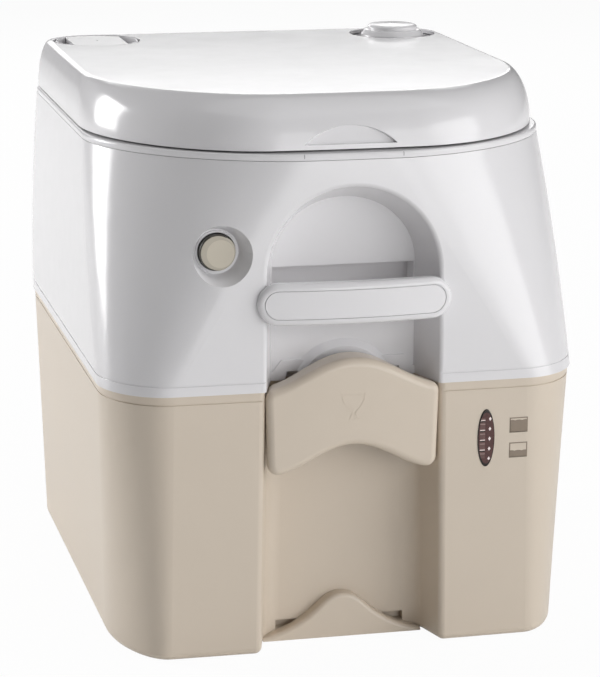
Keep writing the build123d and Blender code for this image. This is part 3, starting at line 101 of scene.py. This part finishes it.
class Wiring:
    """A node tree filled by one method for every node."""

    def __init__(self, tree):
        self.tree = tree
        tree.nodes.clear()

    def node(self, kind, settings=None, values=(), out=0):
        made = self.tree.nodes.new(kind)
        for key, value in (settings or {}).items():
            setattr(made, key, value)
        pairs = values.items() if isinstance(values, dict) else enumerate(values)
        for key, value in pairs:
            self.feed(made.inputs[key], value)
        return Shade(self, made.outputs[out])

    def feed(self, socket, value):
        if isinstance(value, Shade):
            self.tree.links.new(value.socket, socket)
        elif socket.type == "RGBA" and len(value) == 3:
            socket.default_value = (*value, 1.0)
        else:
            socket.default_value = value


class Finish(Wiring):
    """A material under construction, round one Principled shader."""

    def __init__(self, name):
        self.material = bpy.data.materials.new(name)
        self.material.use_nodes = True
        super().__init__(self.material.node_tree)
        self.shader = self.tree.nodes.new("ShaderNodeBsdfPrincipled")
        self.output = self.tree.nodes.new("ShaderNodeOutputMaterial")
        self.tree.links.new(self.shader.outputs[0], self.output.inputs["Surface"])

    def place(self):
        return self.node("ShaderNodeTexCoord", out="Object")

    def split(self, vector):
        parts = self.node("ShaderNodeSeparateXYZ", values=[vector])
        outputs = parts.socket.node.outputs
        return [Shade(self, outputs[index]) for index in range(3)]

    def noise(self, vector, scale, detail=2.0, roughness=0.5):
        values = {"Vector": vector, "Scale": scale, "Detail": detail, "Roughness": roughness}
        return self.node("ShaderNodeTexNoise", values=values)

    def mix(self, share, first, second_highlight):
        factor, colour_a, colour_b, colour_out = 0, 6, 7, 2
        values = {factor: share, colour_a: first, colour_b: second_highlight}
        return self.node("ShaderNodeMix", {"data_type": "RGBA"}, values, colour_out)

    def bump(self, height, distance, strength=1.0, under=None):
        values = {"Strength": strength, "Distance": distance, "Height": height}
        if under is not None:
            values["Normal"] = under
        return self.node("ShaderNodeBump", values=values)

    def surface(self, **values):
        for key, value in values.items():
            self.feed(self.shader.inputs[key.replace("_", " ")], value)
        return self.material


def tint(colour, factor):
    """A colour made lighter or darker."""
    return tuple(min(1.0, channel * factor) for channel in colour)


def moulded_plastic(name, colour, gloss, waviness=0.00025):
    """Moulded plastic: faint flow mottling, slow waves from cooling and a fine orange peel."""
    finish = Finish(name)
    place = finish.place()
    clouds = finish.noise(place, 9.0, 3.0)
    specks = finish.noise(place, 420.0, 2.0)
    shades = finish.mix(clouds, tint(colour, 0.985), tint(colour, 1.015))
    shades = finish.mix(specks * 0.10, shades, tint(colour, 0.93))
    waves = finish.bump(finish.noise(place, 14.0, 1.0), waviness)
    peel = finish.bump(finish.noise(place, 650.0, 2.0), 0.00003, 0.5, waves)
    rubbed = finish.noise(place, 60.0, 4.0, 0.6)
    return finish.surface(
        Base_Color=shades, Roughness=gloss + rubbed * 0.06 - 0.03, Normal=peel
    )


def satin_moulding(name, colour, gloss):
    """Satin moulding: a fine spark-eroded grain over slightly uneven colour."""
    finish = Finish(name)
    place = finish.place()
    clouds = finish.noise(place, 11.0, 3.0)
    grain = finish.noise(place, 900.0, 3.0, 0.6)
    shades = finish.mix(clouds, tint(colour, 0.97), tint(colour, 1.03))
    shades = finish.mix(grain * 0.14, shades, tint(colour, 0.88))
    waves = finish.bump(finish.noise(place, 12.0, 1.0), 0.0003)
    texture = finish.bump(grain, 0.00006, 0.5, waves)
    return finish.surface(
        Base_Color=shades, Roughness=gloss + clouds * 0.08 - 0.04, Normal=texture
    )


def moulded_rubber(name, colour):
    """Matt rubber with a dusty bloom."""
    finish = Finish(name)
    place = finish.place()
    bloom = finish.noise(place, 120.0, 4.0, 0.65)
    shades = finish.mix(bloom * 0.5, colour, tint(colour, 2.2))
    pores = finish.bump(finish.noise(place, 1200.0, 2.0), 0.00004)
    return finish.surface(Base_Color=shades, Roughness=0.62 + bloom * 0.2, Normal=pores)


def push_button(name, colour, centre, radius):
    """Satin button with painted shade on its rounded edge and a painted shadow in the gap at its
    ring.
    """
    shade_right, shade_down = 0.16, 0.06
    edge_shade_start, gap_shadow_start = 0.58, 0.86
    finish = Finish(name)
    across, _, up = finish.split(finish.place())
    across = (across - centre[0]) / radius
    up = (up - centre[2]) / radius
    grain = finish.noise(finish.place(), 900.0, 3.0, 0.6)
    reach = across * across + up * up
    lit_across = across - shade_right
    lit_up = up + shade_down
    shade_reach = lit_across * lit_across + lit_up * lit_up
    shades = finish.mix(grain * 0.14, colour, tint(colour, 0.88))
    # Painted shade on the rounded edge, centred off the middle so the upper left is darker
    shades = finish.mix((shade_reach > edge_shade_start) * 0.5, shades, tint(colour, 0.62))
    # Painted shadow: a near-black crescent where the gap between button and sleeve falls into
    # shade
    shades = finish.mix((reach > gap_shadow_start) * (shade_reach > gap_shadow_start), shades, tint(colour, 0.10))
    return finish.surface(
        Base_Color=shades, Roughness=0.30 + grain * 0.05, Normal=finish.bump(grain, 0.00006, 0.5)
    )


def drawn_steel(name, colour):
    """Drawn stainless steel with fine lines along its length."""
    finish = Finish(name)
    place = finish.place()
    stretch = finish.node(
        "ShaderNodeVectorMath", {"operation": "MULTIPLY"}, [place, (40.0, 900.0, 900.0)]
    )
    lines = finish.noise(stretch, 1.0, 3.0, 0.6)
    shades = finish.mix(lines, tint(colour, 0.85), tint(colour, 1.1))
    return finish.surface(
        Base_Color=shades,
        Metallic=1.0,
        Roughness=0.24 + lines * 0.14,
        Normal=finish.bump(lines, 0.00002),
    )


def gauge_window(name, colour, centre, reach, pitch):
    """Prismatic level window: dark steps with painted highlights along the step edges and painted
    shade in the grooves on the left, and painted glints on the right.
    """
    edge_shift, second_shift, glint_shift = 0.19, 0.58, 0.07
    steps_left, steps_right = -0.0046, -0.0009
    edge_half, groove_half, second_half = 0.00034, 0.00036, 0.0003
    groove_drop = 0.0010
    glint_place, glint_lean = 0.0024, 0.02
    glint_half_width, glint_half_height = 0.0010, 0.0015
    half_width = 0.0063
    finish = Finish(name)
    across, _, up = finish.split(finish.place())
    across = across - centre[0]
    up = up - centre[2]

    def along_pitch(shift):
        return (up + pitch * shift).wrapped(-pitch / 2, pitch / 2)

    step = along_pitch(edge_shift)
    inside = abs(up) < reach * 0.70
    left = (across < steps_right) * (across > steps_left)
    edge_highlight = abs(step) < edge_half
    groove_shade = abs(step + groove_drop) < groove_half
    second_highlight = abs(along_pitch(second_shift)) < second_half
    glint_tall = abs(along_pitch(glint_shift)) / glint_half_height
    glint = glint_tall + abs(across - glint_place - up * glint_lean) / glint_half_width < 1.0
    steps = finish.noise(finish.place(), 700.0, 1.0)
    edge = across * across / (half_width**2) + up * up / (reach**2)
    shades = finish.mix(steps, tint(colour, 0.55), tint(colour, 1.35))
    # Painted light: the left column of steps is a little lighter
    shades = finish.mix(left * inside * 0.25, shades, (0.30, 0.20, 0.18))
    # Painted shade: the groove under each step goes near black
    shades = finish.mix(left * inside * groove_shade, shades, (0.008, 0.003, 0.002))
    # Painted highlight: a fainter second pale line in each step
    shades = finish.mix(left * inside * second_highlight * 0.55, shades, (0.50, 0.36, 0.33))
    # Painted highlight: a pale line along each step's edge
    shades = finish.mix(left * inside * edge_highlight, shades, (0.90, 0.76, 0.72))
    # Painted glints: small diamonds of light on the right
    shades = finish.mix(glint * (abs(up) < reach * 0.76), shades, (0.95, 0.84, 0.82))
    shades = finish.mix(edge > 0.80, shades, (0.012, 0.005, 0.003))
    facets = finish.bump(abs(step), 0.12, 0.35)
    return finish.surface(Base_Color=shades, Roughness=0.14 + steps * 0.05, Normal=facets)


def ink_and_painted_shade(name, colour):
    """Flat colour, a little uneven where it covers thinly: pad-printed ink, and painted shade for
    the seat's parting ticks.
    """
    finish = Finish(name)
    place = finish.place()
    cover = finish.noise(place, 300.0, 3.0)
    shades = finish.mix(cover, tint(colour, 0.93), tint(colour, 1.08))
    return finish.surface(Base_Color=shades, Roughness=0.42 + cover * 0.12)


# Mesh helpers

# Marks start on an upright plane ahead of the body and are pressed back onto its walls
AHEAD = -0.23
SMOOTH_ANGLE = 35


def deselect():
    if bpy.context.object and bpy.context.object.mode != "OBJECT":
        bpy.ops.object.mode_set(mode="OBJECT")
    bpy.ops.object.select_all(action="DESELECT")


def take(piece):
    """Makes one object the active and only selected one."""
    deselect()
    piece.select_set(True)
    bpy.context.view_layer.objects.active = piece


def settle(piece, name, material, body):
    """Bakes a piece's place into its mesh, names it and hands it to its body."""
    take(piece)
    bpy.ops.object.transform_apply(location=True, rotation=True, scale=True)
    bpy.ops.object.mode_set(mode="EDIT")
    bpy.ops.mesh.select_all(action="SELECT")
    bpy.ops.mesh.remove_doubles(threshold=0.000001)
    bpy.ops.mesh.normals_make_consistent(inside=False)
    bpy.ops.object.mode_set(mode="OBJECT")
    bpy.ops.object.shade_smooth_by_angle(angle=math.radians(SMOOTH_ANGLE))
    piece.name = name
    piece.data.name = name
    piece.data.materials.clear()
    piece.data.materials.append(material)
    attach(piece, body)
    return piece


def apply_all(piece):
    """Applies every modifier on a piece in order."""
    take(piece)
    for modifier in list(piece.modifiers):
        bpy.ops.object.modifier_apply(modifier=modifier.name)


def upright_grid(centre, width, height, columns, rows):
    """Flat grid facing the front, in front of the body."""
    deselect()
    bpy.ops.mesh.primitive_grid_add(
        x_subdivisions=columns,
        y_subdivisions=rows,
        size=1.0,
        location=(centre[0], AHEAD, centre[1]),
        rotation=(math.radians(90), 0.0, 0.0),
    )
    grid = bpy.context.object
    grid.scale = (width, height, 1.0)
    bpy.ops.object.transform_apply(location=True, rotation=True, scale=True)
    return grid


def lay_on(piece, carrier, rise, thickness):
    """Presses a flat mark onto a wall behind it and gives it a little thickness."""
    wrap = piece.modifiers.new("lie on the wall", "SHRINKWRAP")
    wrap.target = carrier
    wrap.wrap_method = "PROJECT"
    wrap.use_project_x = False
    wrap.use_project_y = True
    wrap.use_project_z = False
    wrap.use_positive_direction = True
    wrap.use_negative_direction = False
    apply_all(piece)
    for vertex in piece.data.vertices:
        vertex.co.y -= rise
    skin = piece.modifiers.new("ink", "SOLIDIFY")
    skin.thickness = thickness
    skin.offset = 0.0
    apply_all(piece)


def join(pieces):
    """Joins several meshes into the first one."""
    deselect()
    for piece in pieces:
        piece.select_set(True)
    bpy.context.view_layer.objects.active = pieces[0]
    bpy.ops.object.join()
    return bpy.context.object


def bar(start, end, width, count):
    """Flat stroke between two points of the front plane."""
    run = Vector((end[0] - start[0], end[1] - start[1]))
    middle = ((start[0] + end[0]) / 2, (start[1] + end[1]) / 2)
    stroke = upright_grid(middle, run.length + width, width, count, 1)
    take(stroke)
    bpy.ops.object.mode_set(mode="EDIT")
    bpy.ops.mesh.select_all(action="SELECT")
    bpy.ops.transform.rotate(
        value=math.atan2(run.y, run.x),
        orient_axis="Y",
        center_override=(middle[0], AHEAD, middle[1]),
    )
    bpy.ops.object.mode_set(mode="OBJECT")
    return stroke


def stroke_path(points, width):
    """Chain of flat strokes through points of the front plane."""
    return join([bar(a, b, width, 3) for a, b in zip(points, points[1:])])


# Sizes and colours a user would change


class ToiletColours(bpy.types.PropertyGroup):
    """Colours of the mouldings and prints."""

    white: FloatVectorProperty(
        name="White", description="White mouldings", subtype="COLOR", default=(0.785, 0.775, 0.79)
    )
    tan: FloatVectorProperty(
        name="Tan", description="Tan mouldings", subtype="COLOR", default=(0.66, 0.575, 0.477)
    )
    button: FloatVectorProperty(
        name="Button", description="Flush button", subtype="COLOR", default=(0.56, 0.51, 0.42)
    )
    window: FloatVectorProperty(
        name="Window",
        description="Dark of the level window",
        subtype="COLOR",
        default=(0.09, 0.035, 0.032),
    )
    ink: FloatVectorProperty(
        name="Ink", description="Printed marks", subtype="COLOR", default=(0.26, 0.205, 0.155)
    )
    rubber: FloatVectorProperty(
        name="Rubber",
        description="Seals and bumpers",
        subtype="COLOR",
        default=(0.022, 0.022, 0.022),
    )
    steel: FloatVectorProperty(
        name="Steel",
        description="Pins, screws and springs",
        subtype="COLOR",
        default=(0.62, 0.62, 0.60),
    )
    hidden: FloatVectorProperty(
        name="Fittings",
        description="Hidden fittings",
        subtype="COLOR",
        default=(0.42, 0.42, 0.41),
    )


class ToiletSizes(bpy.types.PropertyGroup):
    """Sizes of the printed, raised and parting marks and of the level window's steps."""

    mark_width: FloatProperty(
        name="Mark width", description="Width of a level mark", unit="LENGTH", default=0.0134
    )
    mark_height: FloatProperty(
        name="Mark height", description="Height of a level mark", unit="LENGTH", default=0.0110
    )
    line: FloatProperty(
        name="Mark line", description="Line of a level mark", unit="LENGTH", default=0.0008
    )
    # Also how far the seat's painted shade ticks stand up
    ink_and_shade_rise: FloatProperty(
        name="Ink rise",
        description="How far printed ink stands up",
        unit="LENGTH",
        default=0.00006,
    )
    relief: FloatProperty(
        name="Relief",
        description="How far an embossed mark stands up",
        unit="LENGTH",
        default=0.0002,
    )
    mark_place: FloatProperty(
        name="Mark place",
        description="Distance of the level marks from the middle",
        unit="LENGTH",
        default=0.1203,
    )
    full_level: FloatProperty(
        name="Full mark", description="Height of the full mark", unit="LENGTH", default=0.1561
    )
    low_level: FloatProperty(
        name="Low mark", description="Height of the part-full mark", unit="LENGTH", default=0.1379
    )
    tick_place: FloatProperty(
        name="Tick place",
        description="Seat tick's distance from the middle",
        unit="LENGTH",
        default=0.0347,
    )
    tick_level: FloatProperty(
        name="Tick level",
        description="Seat tick's height above the floor",
        unit="LENGTH",
        default=0.3516,
    )
    tick_width: FloatProperty(
        name="Tick width", description="Width of a seat tick", unit="LENGTH", default=0.0006
    )
    tick_height: FloatProperty(
        name="Tick height", description="Height of a seat tick", unit="LENGTH", default=0.0028
    )
    sign_line: FloatProperty(
        name="Sign line", description="Stroke of the handle's sign", unit="LENGTH", default=0.0006
    )
    gauge_reach: FloatProperty(
        name="Window reach", description="Half the window's height", unit="LENGTH", default=0.0208
    )
    gauge_pitch: FloatProperty(
        name="Window pitch",
        description="Pitch of the window's steps",
        unit="LENGTH",
        default=0.0072,
    )


def colours():
    return bpy.context.scene.toilet_colours


def sizes():
    return bpy.context.scene.toilet_sizes


def finish_named(name):
    """Finish of one name, made at its first use."""
    made = bpy.data.materials.get(name)
    if made:
        return made
    palette = colours()
    box_low, box_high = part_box("gauge_lens")
    centre = [(low + high) / 2 for low, high in zip(box_low, box_high)]
    button_low, button_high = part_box("flush_button")
    button_centre = [(low + high) / 2 for low, high in zip(button_low, button_high)]
    button_radius = (button_high[0] - button_low[0]) / 2
    makers = {
        "white gloss": lambda: moulded_plastic(name, palette.white, 0.19),
        "white lid": lambda: moulded_plastic(name, palette.white, 0.17, 0.00018),
        "white inlay": lambda: moulded_plastic(name, tint(palette.white, 1.04), 0.10, 0.00004),
        "white liner": lambda: satin_moulding(name, palette.white, 0.34),
        "tan moulding": lambda: satin_moulding(name, palette.tan, 0.36),
        "tan trim": lambda: satin_moulding(name, tint(palette.tan, 1.02), 0.30),
        "button tan": lambda: satin_moulding(name, tint(palette.tan, 1.12), 0.30),
        "flush button": lambda: push_button(name, palette.button, button_centre, button_radius),
        "seal rubber": lambda: moulded_rubber(name, palette.rubber),
        "drawn steel": lambda: drawn_steel(name, palette.steel),
        "grey fitting": lambda: satin_moulding(name, palette.hidden, 0.45),
        "mark ink": lambda: ink_and_painted_shade(name, palette.ink),
        # Painted shade: grey for the seat's parting ticks
        "parting shade": lambda: ink_and_painted_shade(name, tint(palette.white, 0.45)),
        "level window": lambda: gauge_window(
            name, palette.window, centre, sizes().gauge_reach, sizes().gauge_pitch
        ),
    }
    return makers[name]()


SLOT_FINISH = {
    "white_plastic": "white gloss",
    "tan_plastic": "tan moulding",
    "seal_rubber": "seal rubber",
    "steel": "drawn steel",
    "lens": "level window",
    "grey_plastic": "grey fitting",
}
NODE_FINISH = {
    "lid": "white lid",
    "handle_plate": "white inlay",
    "bowl": "white liner",
    "base_pan": "white liner",
    "valve_base": "white liner",
    "valve_cover": "white liner",
    "flush_button": "flush button",
    "valve_handle": "tan trim",
    "spout_cap": "tan trim",
    "vent_button": "button tan",
    "latch_lever": "tan trim",
}


# Pieces


class TOILET_OT_dress(bpy.types.Operator):
    """Give every moulding, seal and fitting of the frame its finish"""

    bl_idname = "toilet.dress"
    bl_label = "Dress the frame"

    def execute(self, context):
        slots = {part["node"]: part["material_slot"] for part in frame["record"]["subparts"]}
        for name, node in frame["nodes"].items():
            wanted = NODE_FINISH.get(name, SLOT_FINISH[slots[name]])
            node.data.materials.clear()
            node.data.materials.append(finish_named(wanted))
        return {"FINISHED"}


class TOILET_OT_level_marks(bpy.types.Operator):
    """Print the full and part-full tank marks beside the level window"""

    bl_idname = "toilet.level_marks"
    bl_label = "Level marks"

    def frame_strokes(self, size, level):
        """Four sides of a mark's outline."""
        strokes = []
        for side in (1, -1):
            across = size.mark_place + side * (size.mark_width - size.line) / 2
            strokes.append(upright_grid((across, level), size.line, size.mark_height, 1, 8))
            up = level + side * (size.mark_height - size.line) / 2
            strokes.append(upright_grid((size.mark_place, up), size.mark_width, size.line, 10, 1))
        return strokes

    def filling(self, size, level, share_full):
        """Filled lower part of a mark, with small waves along its top."""
        waves, wave_height = 2.6, 0.00045
        height = size.mark_height * share_full
        bottom = level - size.mark_height / 2
        fill_width = size.mark_width - size.line
        fill = upright_grid((size.mark_place, bottom + height / 2), fill_width, height, 36, 6)
        for vertex in fill.data.vertices:
            share = (vertex.co.z - bottom) / height
            phase = (vertex.co.x - size.mark_place) / size.mark_width * math.tau * waves
            vertex.co.z += wave_height * abs(math.cos(phase / 2)) * share
        return fill

    def execute(self, context):
        size = sizes()
        marks = (("full", size.full_level, 0.80), ("low", size.low_level, 0.44))
        for name, level, share_full in marks:
            mark = join(self.frame_strokes(size, level) + [self.filling(size, level, share_full)])
            lay_on(mark, frame["nodes"]["waste_tank"], size.ink_and_shade_rise, size.ink_and_shade_rise)
            settle(mark, f"level_mark_{name}", finish_named("mark ink"), "toilet")
        return {"FINISHED"}


class TOILET_OT_embossed_marks(bpy.types.Operator):
    """Raise the small bowl signs beside the flush button and on the valve handle"""

    bl_idname = "toilet.embossed_marks"
    bl_label = "Embossed marks"

    def flush_sign(self, size):
        """Solid bowl shape, wide at its top and rounded towards its foot."""
        middle_x, middle_z = -0.0945, 0.2535
        width, height, foot_share = 0.0185, 0.0088, 0.28
        bowl = upright_grid((middle_x, middle_z), width, height, 28, 12)
        for vertex in bowl.data.vertices:
            share = (vertex.co.z - middle_z) / height + 0.5
            swell = math.sqrt(max(0.0, 1 - (1 - share) ** 2))
            pinch = foot_share + (1 - foot_share) * swell
            vertex.co.x = middle_x + (vertex.co.x - middle_x) * pinch
        lay_on(bowl, frame["nodes"]["upper_shell"], size.relief / 2, size.relief)
        settle(bowl, "flush_sign", finish_named("white gloss"), "toilet")

    def valve_sign(self, size):
        """Outline of a bowl on its foot, in thin raised strokes."""
        middle_x, middle_z = -0.0005, 0.1790
        right_share = 0.9
        rim_height, rim_left, rim_right = 0.0068, -0.0070, 0.0068
        foot_drop, foot_half = 0.0105, 0.0034
        outline = [
            (-0.0085, 0.0075),
            (-0.0080, 0.0030),
            (-0.0050, -0.0020),
            (-0.0012, -0.0055),
            (-0.0028, -0.0105),
        ]
        left = [(middle_x + x, middle_z + z) for x, z in outline]
        right = [(middle_x - x * right_share, middle_z + z) for x, z in outline]
        rim = [(middle_x + x, middle_z + rim_height) for x in (rim_left, rim_right)]
        foot = [(middle_x + x, middle_z - foot_drop) for x in (-foot_half, foot_half)]
        sign = join([stroke_path(path, size.sign_line) for path in (left, right, rim, foot)])
        lay_on(sign, frame["nodes"]["valve_handle"], size.relief / 3, size.relief)
        settle(sign, "valve_sign", finish_named("tan trim"), "valve")

    def execute(self, context):
        size = sizes()
        self.flush_sign(size)
        self.valve_sign(size)
        return {"FINISHED"}


class TOILET_OT_seat_ticks(bpy.types.Operator):
    """Paint shade into the two small parting ticks on the front band of the seat"""

    bl_idname = "toilet.seat_ticks"
    bl_label = "Seat ticks"

    def execute(self, context):
        size = sizes()
        for side, word in ((-1, "left"), (1, "right")):
            centre = (side * size.tick_place, size.tick_level)
            tick = upright_grid(centre, size.tick_width, size.tick_height, 1, 4)
            lay_on(tick, frame["nodes"]["seat"], size.ink_and_shade_rise, size.ink_and_shade_rise)
            # Painted shade: the ticks are grey where the seat's parting seam falls into shade
            finish = finish_named("parting shade")
            settle(tick, f"seat_tick_{word}", finish, "seat")
        return {"FINISHED"}


class TOILET_OT_stage(bpy.types.Operator):
    """Set the pale floor, the soft lamps and the camera at the photograph's place"""

    bl_idname = "toilet.stage"
    bl_label = "Studio"

    def floor_finish(self):
        """Pale floor that the camera sees almost as bright as the backdrop."""
        seen_share, mirrored_share = 0.96, 0.5
        finish = Finish("studio floor")
        finish.surface(Base_Color=(0.93, 0.93, 0.93), Roughness=0.75)
        seen = finish.node("ShaderNodeLightPath", out="Is Camera Ray")
        mirrored = finish.node("ShaderNodeLightPath", out="Is Glossy Ray")
        share = seen * seen_share + mirrored * mirrored_share
        matt = Shade(finish, finish.shader.outputs[0])
        glow = finish.node("ShaderNodeEmission", values={"Strength": 1.0})
        blend = finish.node("ShaderNodeMixShader", values=[share, matt, glow])
        finish.feed(finish.output.inputs["Surface"], blend)
        return finish.material

    def world(self, scene):
        """White backdrop for the camera and a weak fill for everything else."""
        backdrop_strength, fill_strength = 1.0, 0.05
        world = bpy.data.worlds.new("studio")
        scene.world = world
        world.use_nodes = True
        sky = Wiring(world.node_tree)
        seen = sky.node("ShaderNodeLightPath", out="Is Camera Ray")
        through = sky.node("ShaderNodeLightPath", out="Is Transmission Ray")
        either = {"operation": "ADD", "use_clamp": True}
        share = sky.node("ShaderNodeMath", either, [seen, through])
        fill = sky.node("ShaderNodeBackground", values={"Strength": fill_strength})
        backdrop = sky.node("ShaderNodeBackground", values={"Strength": backdrop_strength})
        blend = sky.node("ShaderNodeMixShader", values=[share, fill, backdrop])
        output = sky.tree.nodes.new("ShaderNodeOutputWorld")
        sky.feed(output.inputs["Surface"], blend)

    def lamp(self, name, place, width, height, power):
        """Rectangular soft lamp, turned to the middle of the toilet."""
        middle = Vector((0.0, 0.0, 0.2))
        data = bpy.data.lights.new(name, "AREA")
        data.shape = "RECTANGLE"
        data.size = width
        data.size_y = height
        data.energy = power
        lamp = bpy.data.objects.new(name, data)
        bpy.context.scene.collection.objects.link(lamp)
        lamp.location = place
        lamp.rotation_euler = (middle - Vector(place)).to_track_quat("-Z", "Y").to_euler()

    def camera(self, scene):
        """Camera at the photograph's place, a little left of the front and above the lid."""
        lens, sensor, far_clip = 142.94, 36.0, 50.0
        place = (-0.4516, -1.9369, 0.6567)
        yaw, pitch, roll = math.radians(13.39), math.radians(13.54), 0.004
        data = bpy.data.cameras.new("camera")
        data.sensor_width = sensor
        data.lens = lens
        data.clip_end = far_clip
        camera = bpy.data.objects.new("camera", data)
        scene.collection.objects.link(camera)
        camera.location = place
        level = Euler((math.radians(90) - pitch, 0.0, -yaw)).to_matrix()
        turn = Euler((0.0, 0.0, roll)).to_matrix()
        camera.rotation_euler = (level @ turn).to_euler()
        scene.camera = camera

    def execute(self, context):
        floor_size, floor_drop = 14.0, 0.0004
        scene = context.scene
        scene.view_settings.view_transform = "Standard"
        deselect()
        bpy.ops.mesh.primitive_plane_add(size=floor_size, location=(0.0, 0.0, -floor_drop))
        floor = context.object
        floor.name = "studio_floor"
        floor.data.materials.append(self.floor_finish())
        self.world(scene)
        self.lamp("top_softbox", (0.2, -0.2, 2.6), 2.6, 2.2, 18.5)
        self.lamp("left_softbox", (-3.0, 2.0, 1.1), 1.3, 1.9, 104.0)
        self.lamp("right_softbox", (2.9, -2.0, 1.0), 2.6, 2.4, 66.0)
        self.lamp("front_softbox", (1.2, -3.3, 0.9), 2.0, 1.7, 25.0)
        self.lamp("low_fill", (0.5, -3.2, 0.25), 2.0, 0.4, 6.0)
        self.lamp("rear_softbox", (0.4, 3.0, 1.6), 2.2, 1.6, 29.0)
        self.camera(scene)
        return {"FINISHED"}


class TOILET_PT_panel(bpy.types.Panel):
    """Lists the steps and their settings"""

    bl_idname = "TOILET_PT_panel"
    bl_label = "Portable Toilet"
    bl_space_type = "VIEW_3D"
    bl_region_type = "UI"
    bl_category = "Toilet"

    def draw(self, context):
        for step in STEPS:
            self.layout.operator(step.bl_idname)
        for group in (context.scene.toilet_colours, context.scene.toilet_sizes):
            for key in type(group).__annotations__:
                self.layout.prop(group, key)


STEPS = (
    TOILET_OT_dress,
    TOILET_OT_level_marks,
    TOILET_OT_embossed_marks,
    TOILET_OT_seat_ticks,
    TOILET_OT_stage,
)
CLASSES = (ToiletColours, ToiletSizes, *STEPS, TOILET_PT_panel)


def register():
    for kind in CLASSES:
        bpy.utils.register_class(kind)
    bpy.types.Scene.toilet_colours = PointerProperty(type=ToiletColours)
    bpy.types.Scene.toilet_sizes = PointerProperty(type=ToiletSizes)


def unregister():
    del bpy.types.Scene.toilet_sizes
    del bpy.types.Scene.toilet_colours
    for kind in reversed(CLASSES):
        bpy.utils.unregister_class(kind)


def main():
    register()
    deselect()
    for step in STEPS:
        group, name = step.bl_idname.split(".")
        getattr(getattr(bpy.ops, group), name)()
    bpy.context.view_layer.update()


if __name__ == "__main__":
    main()
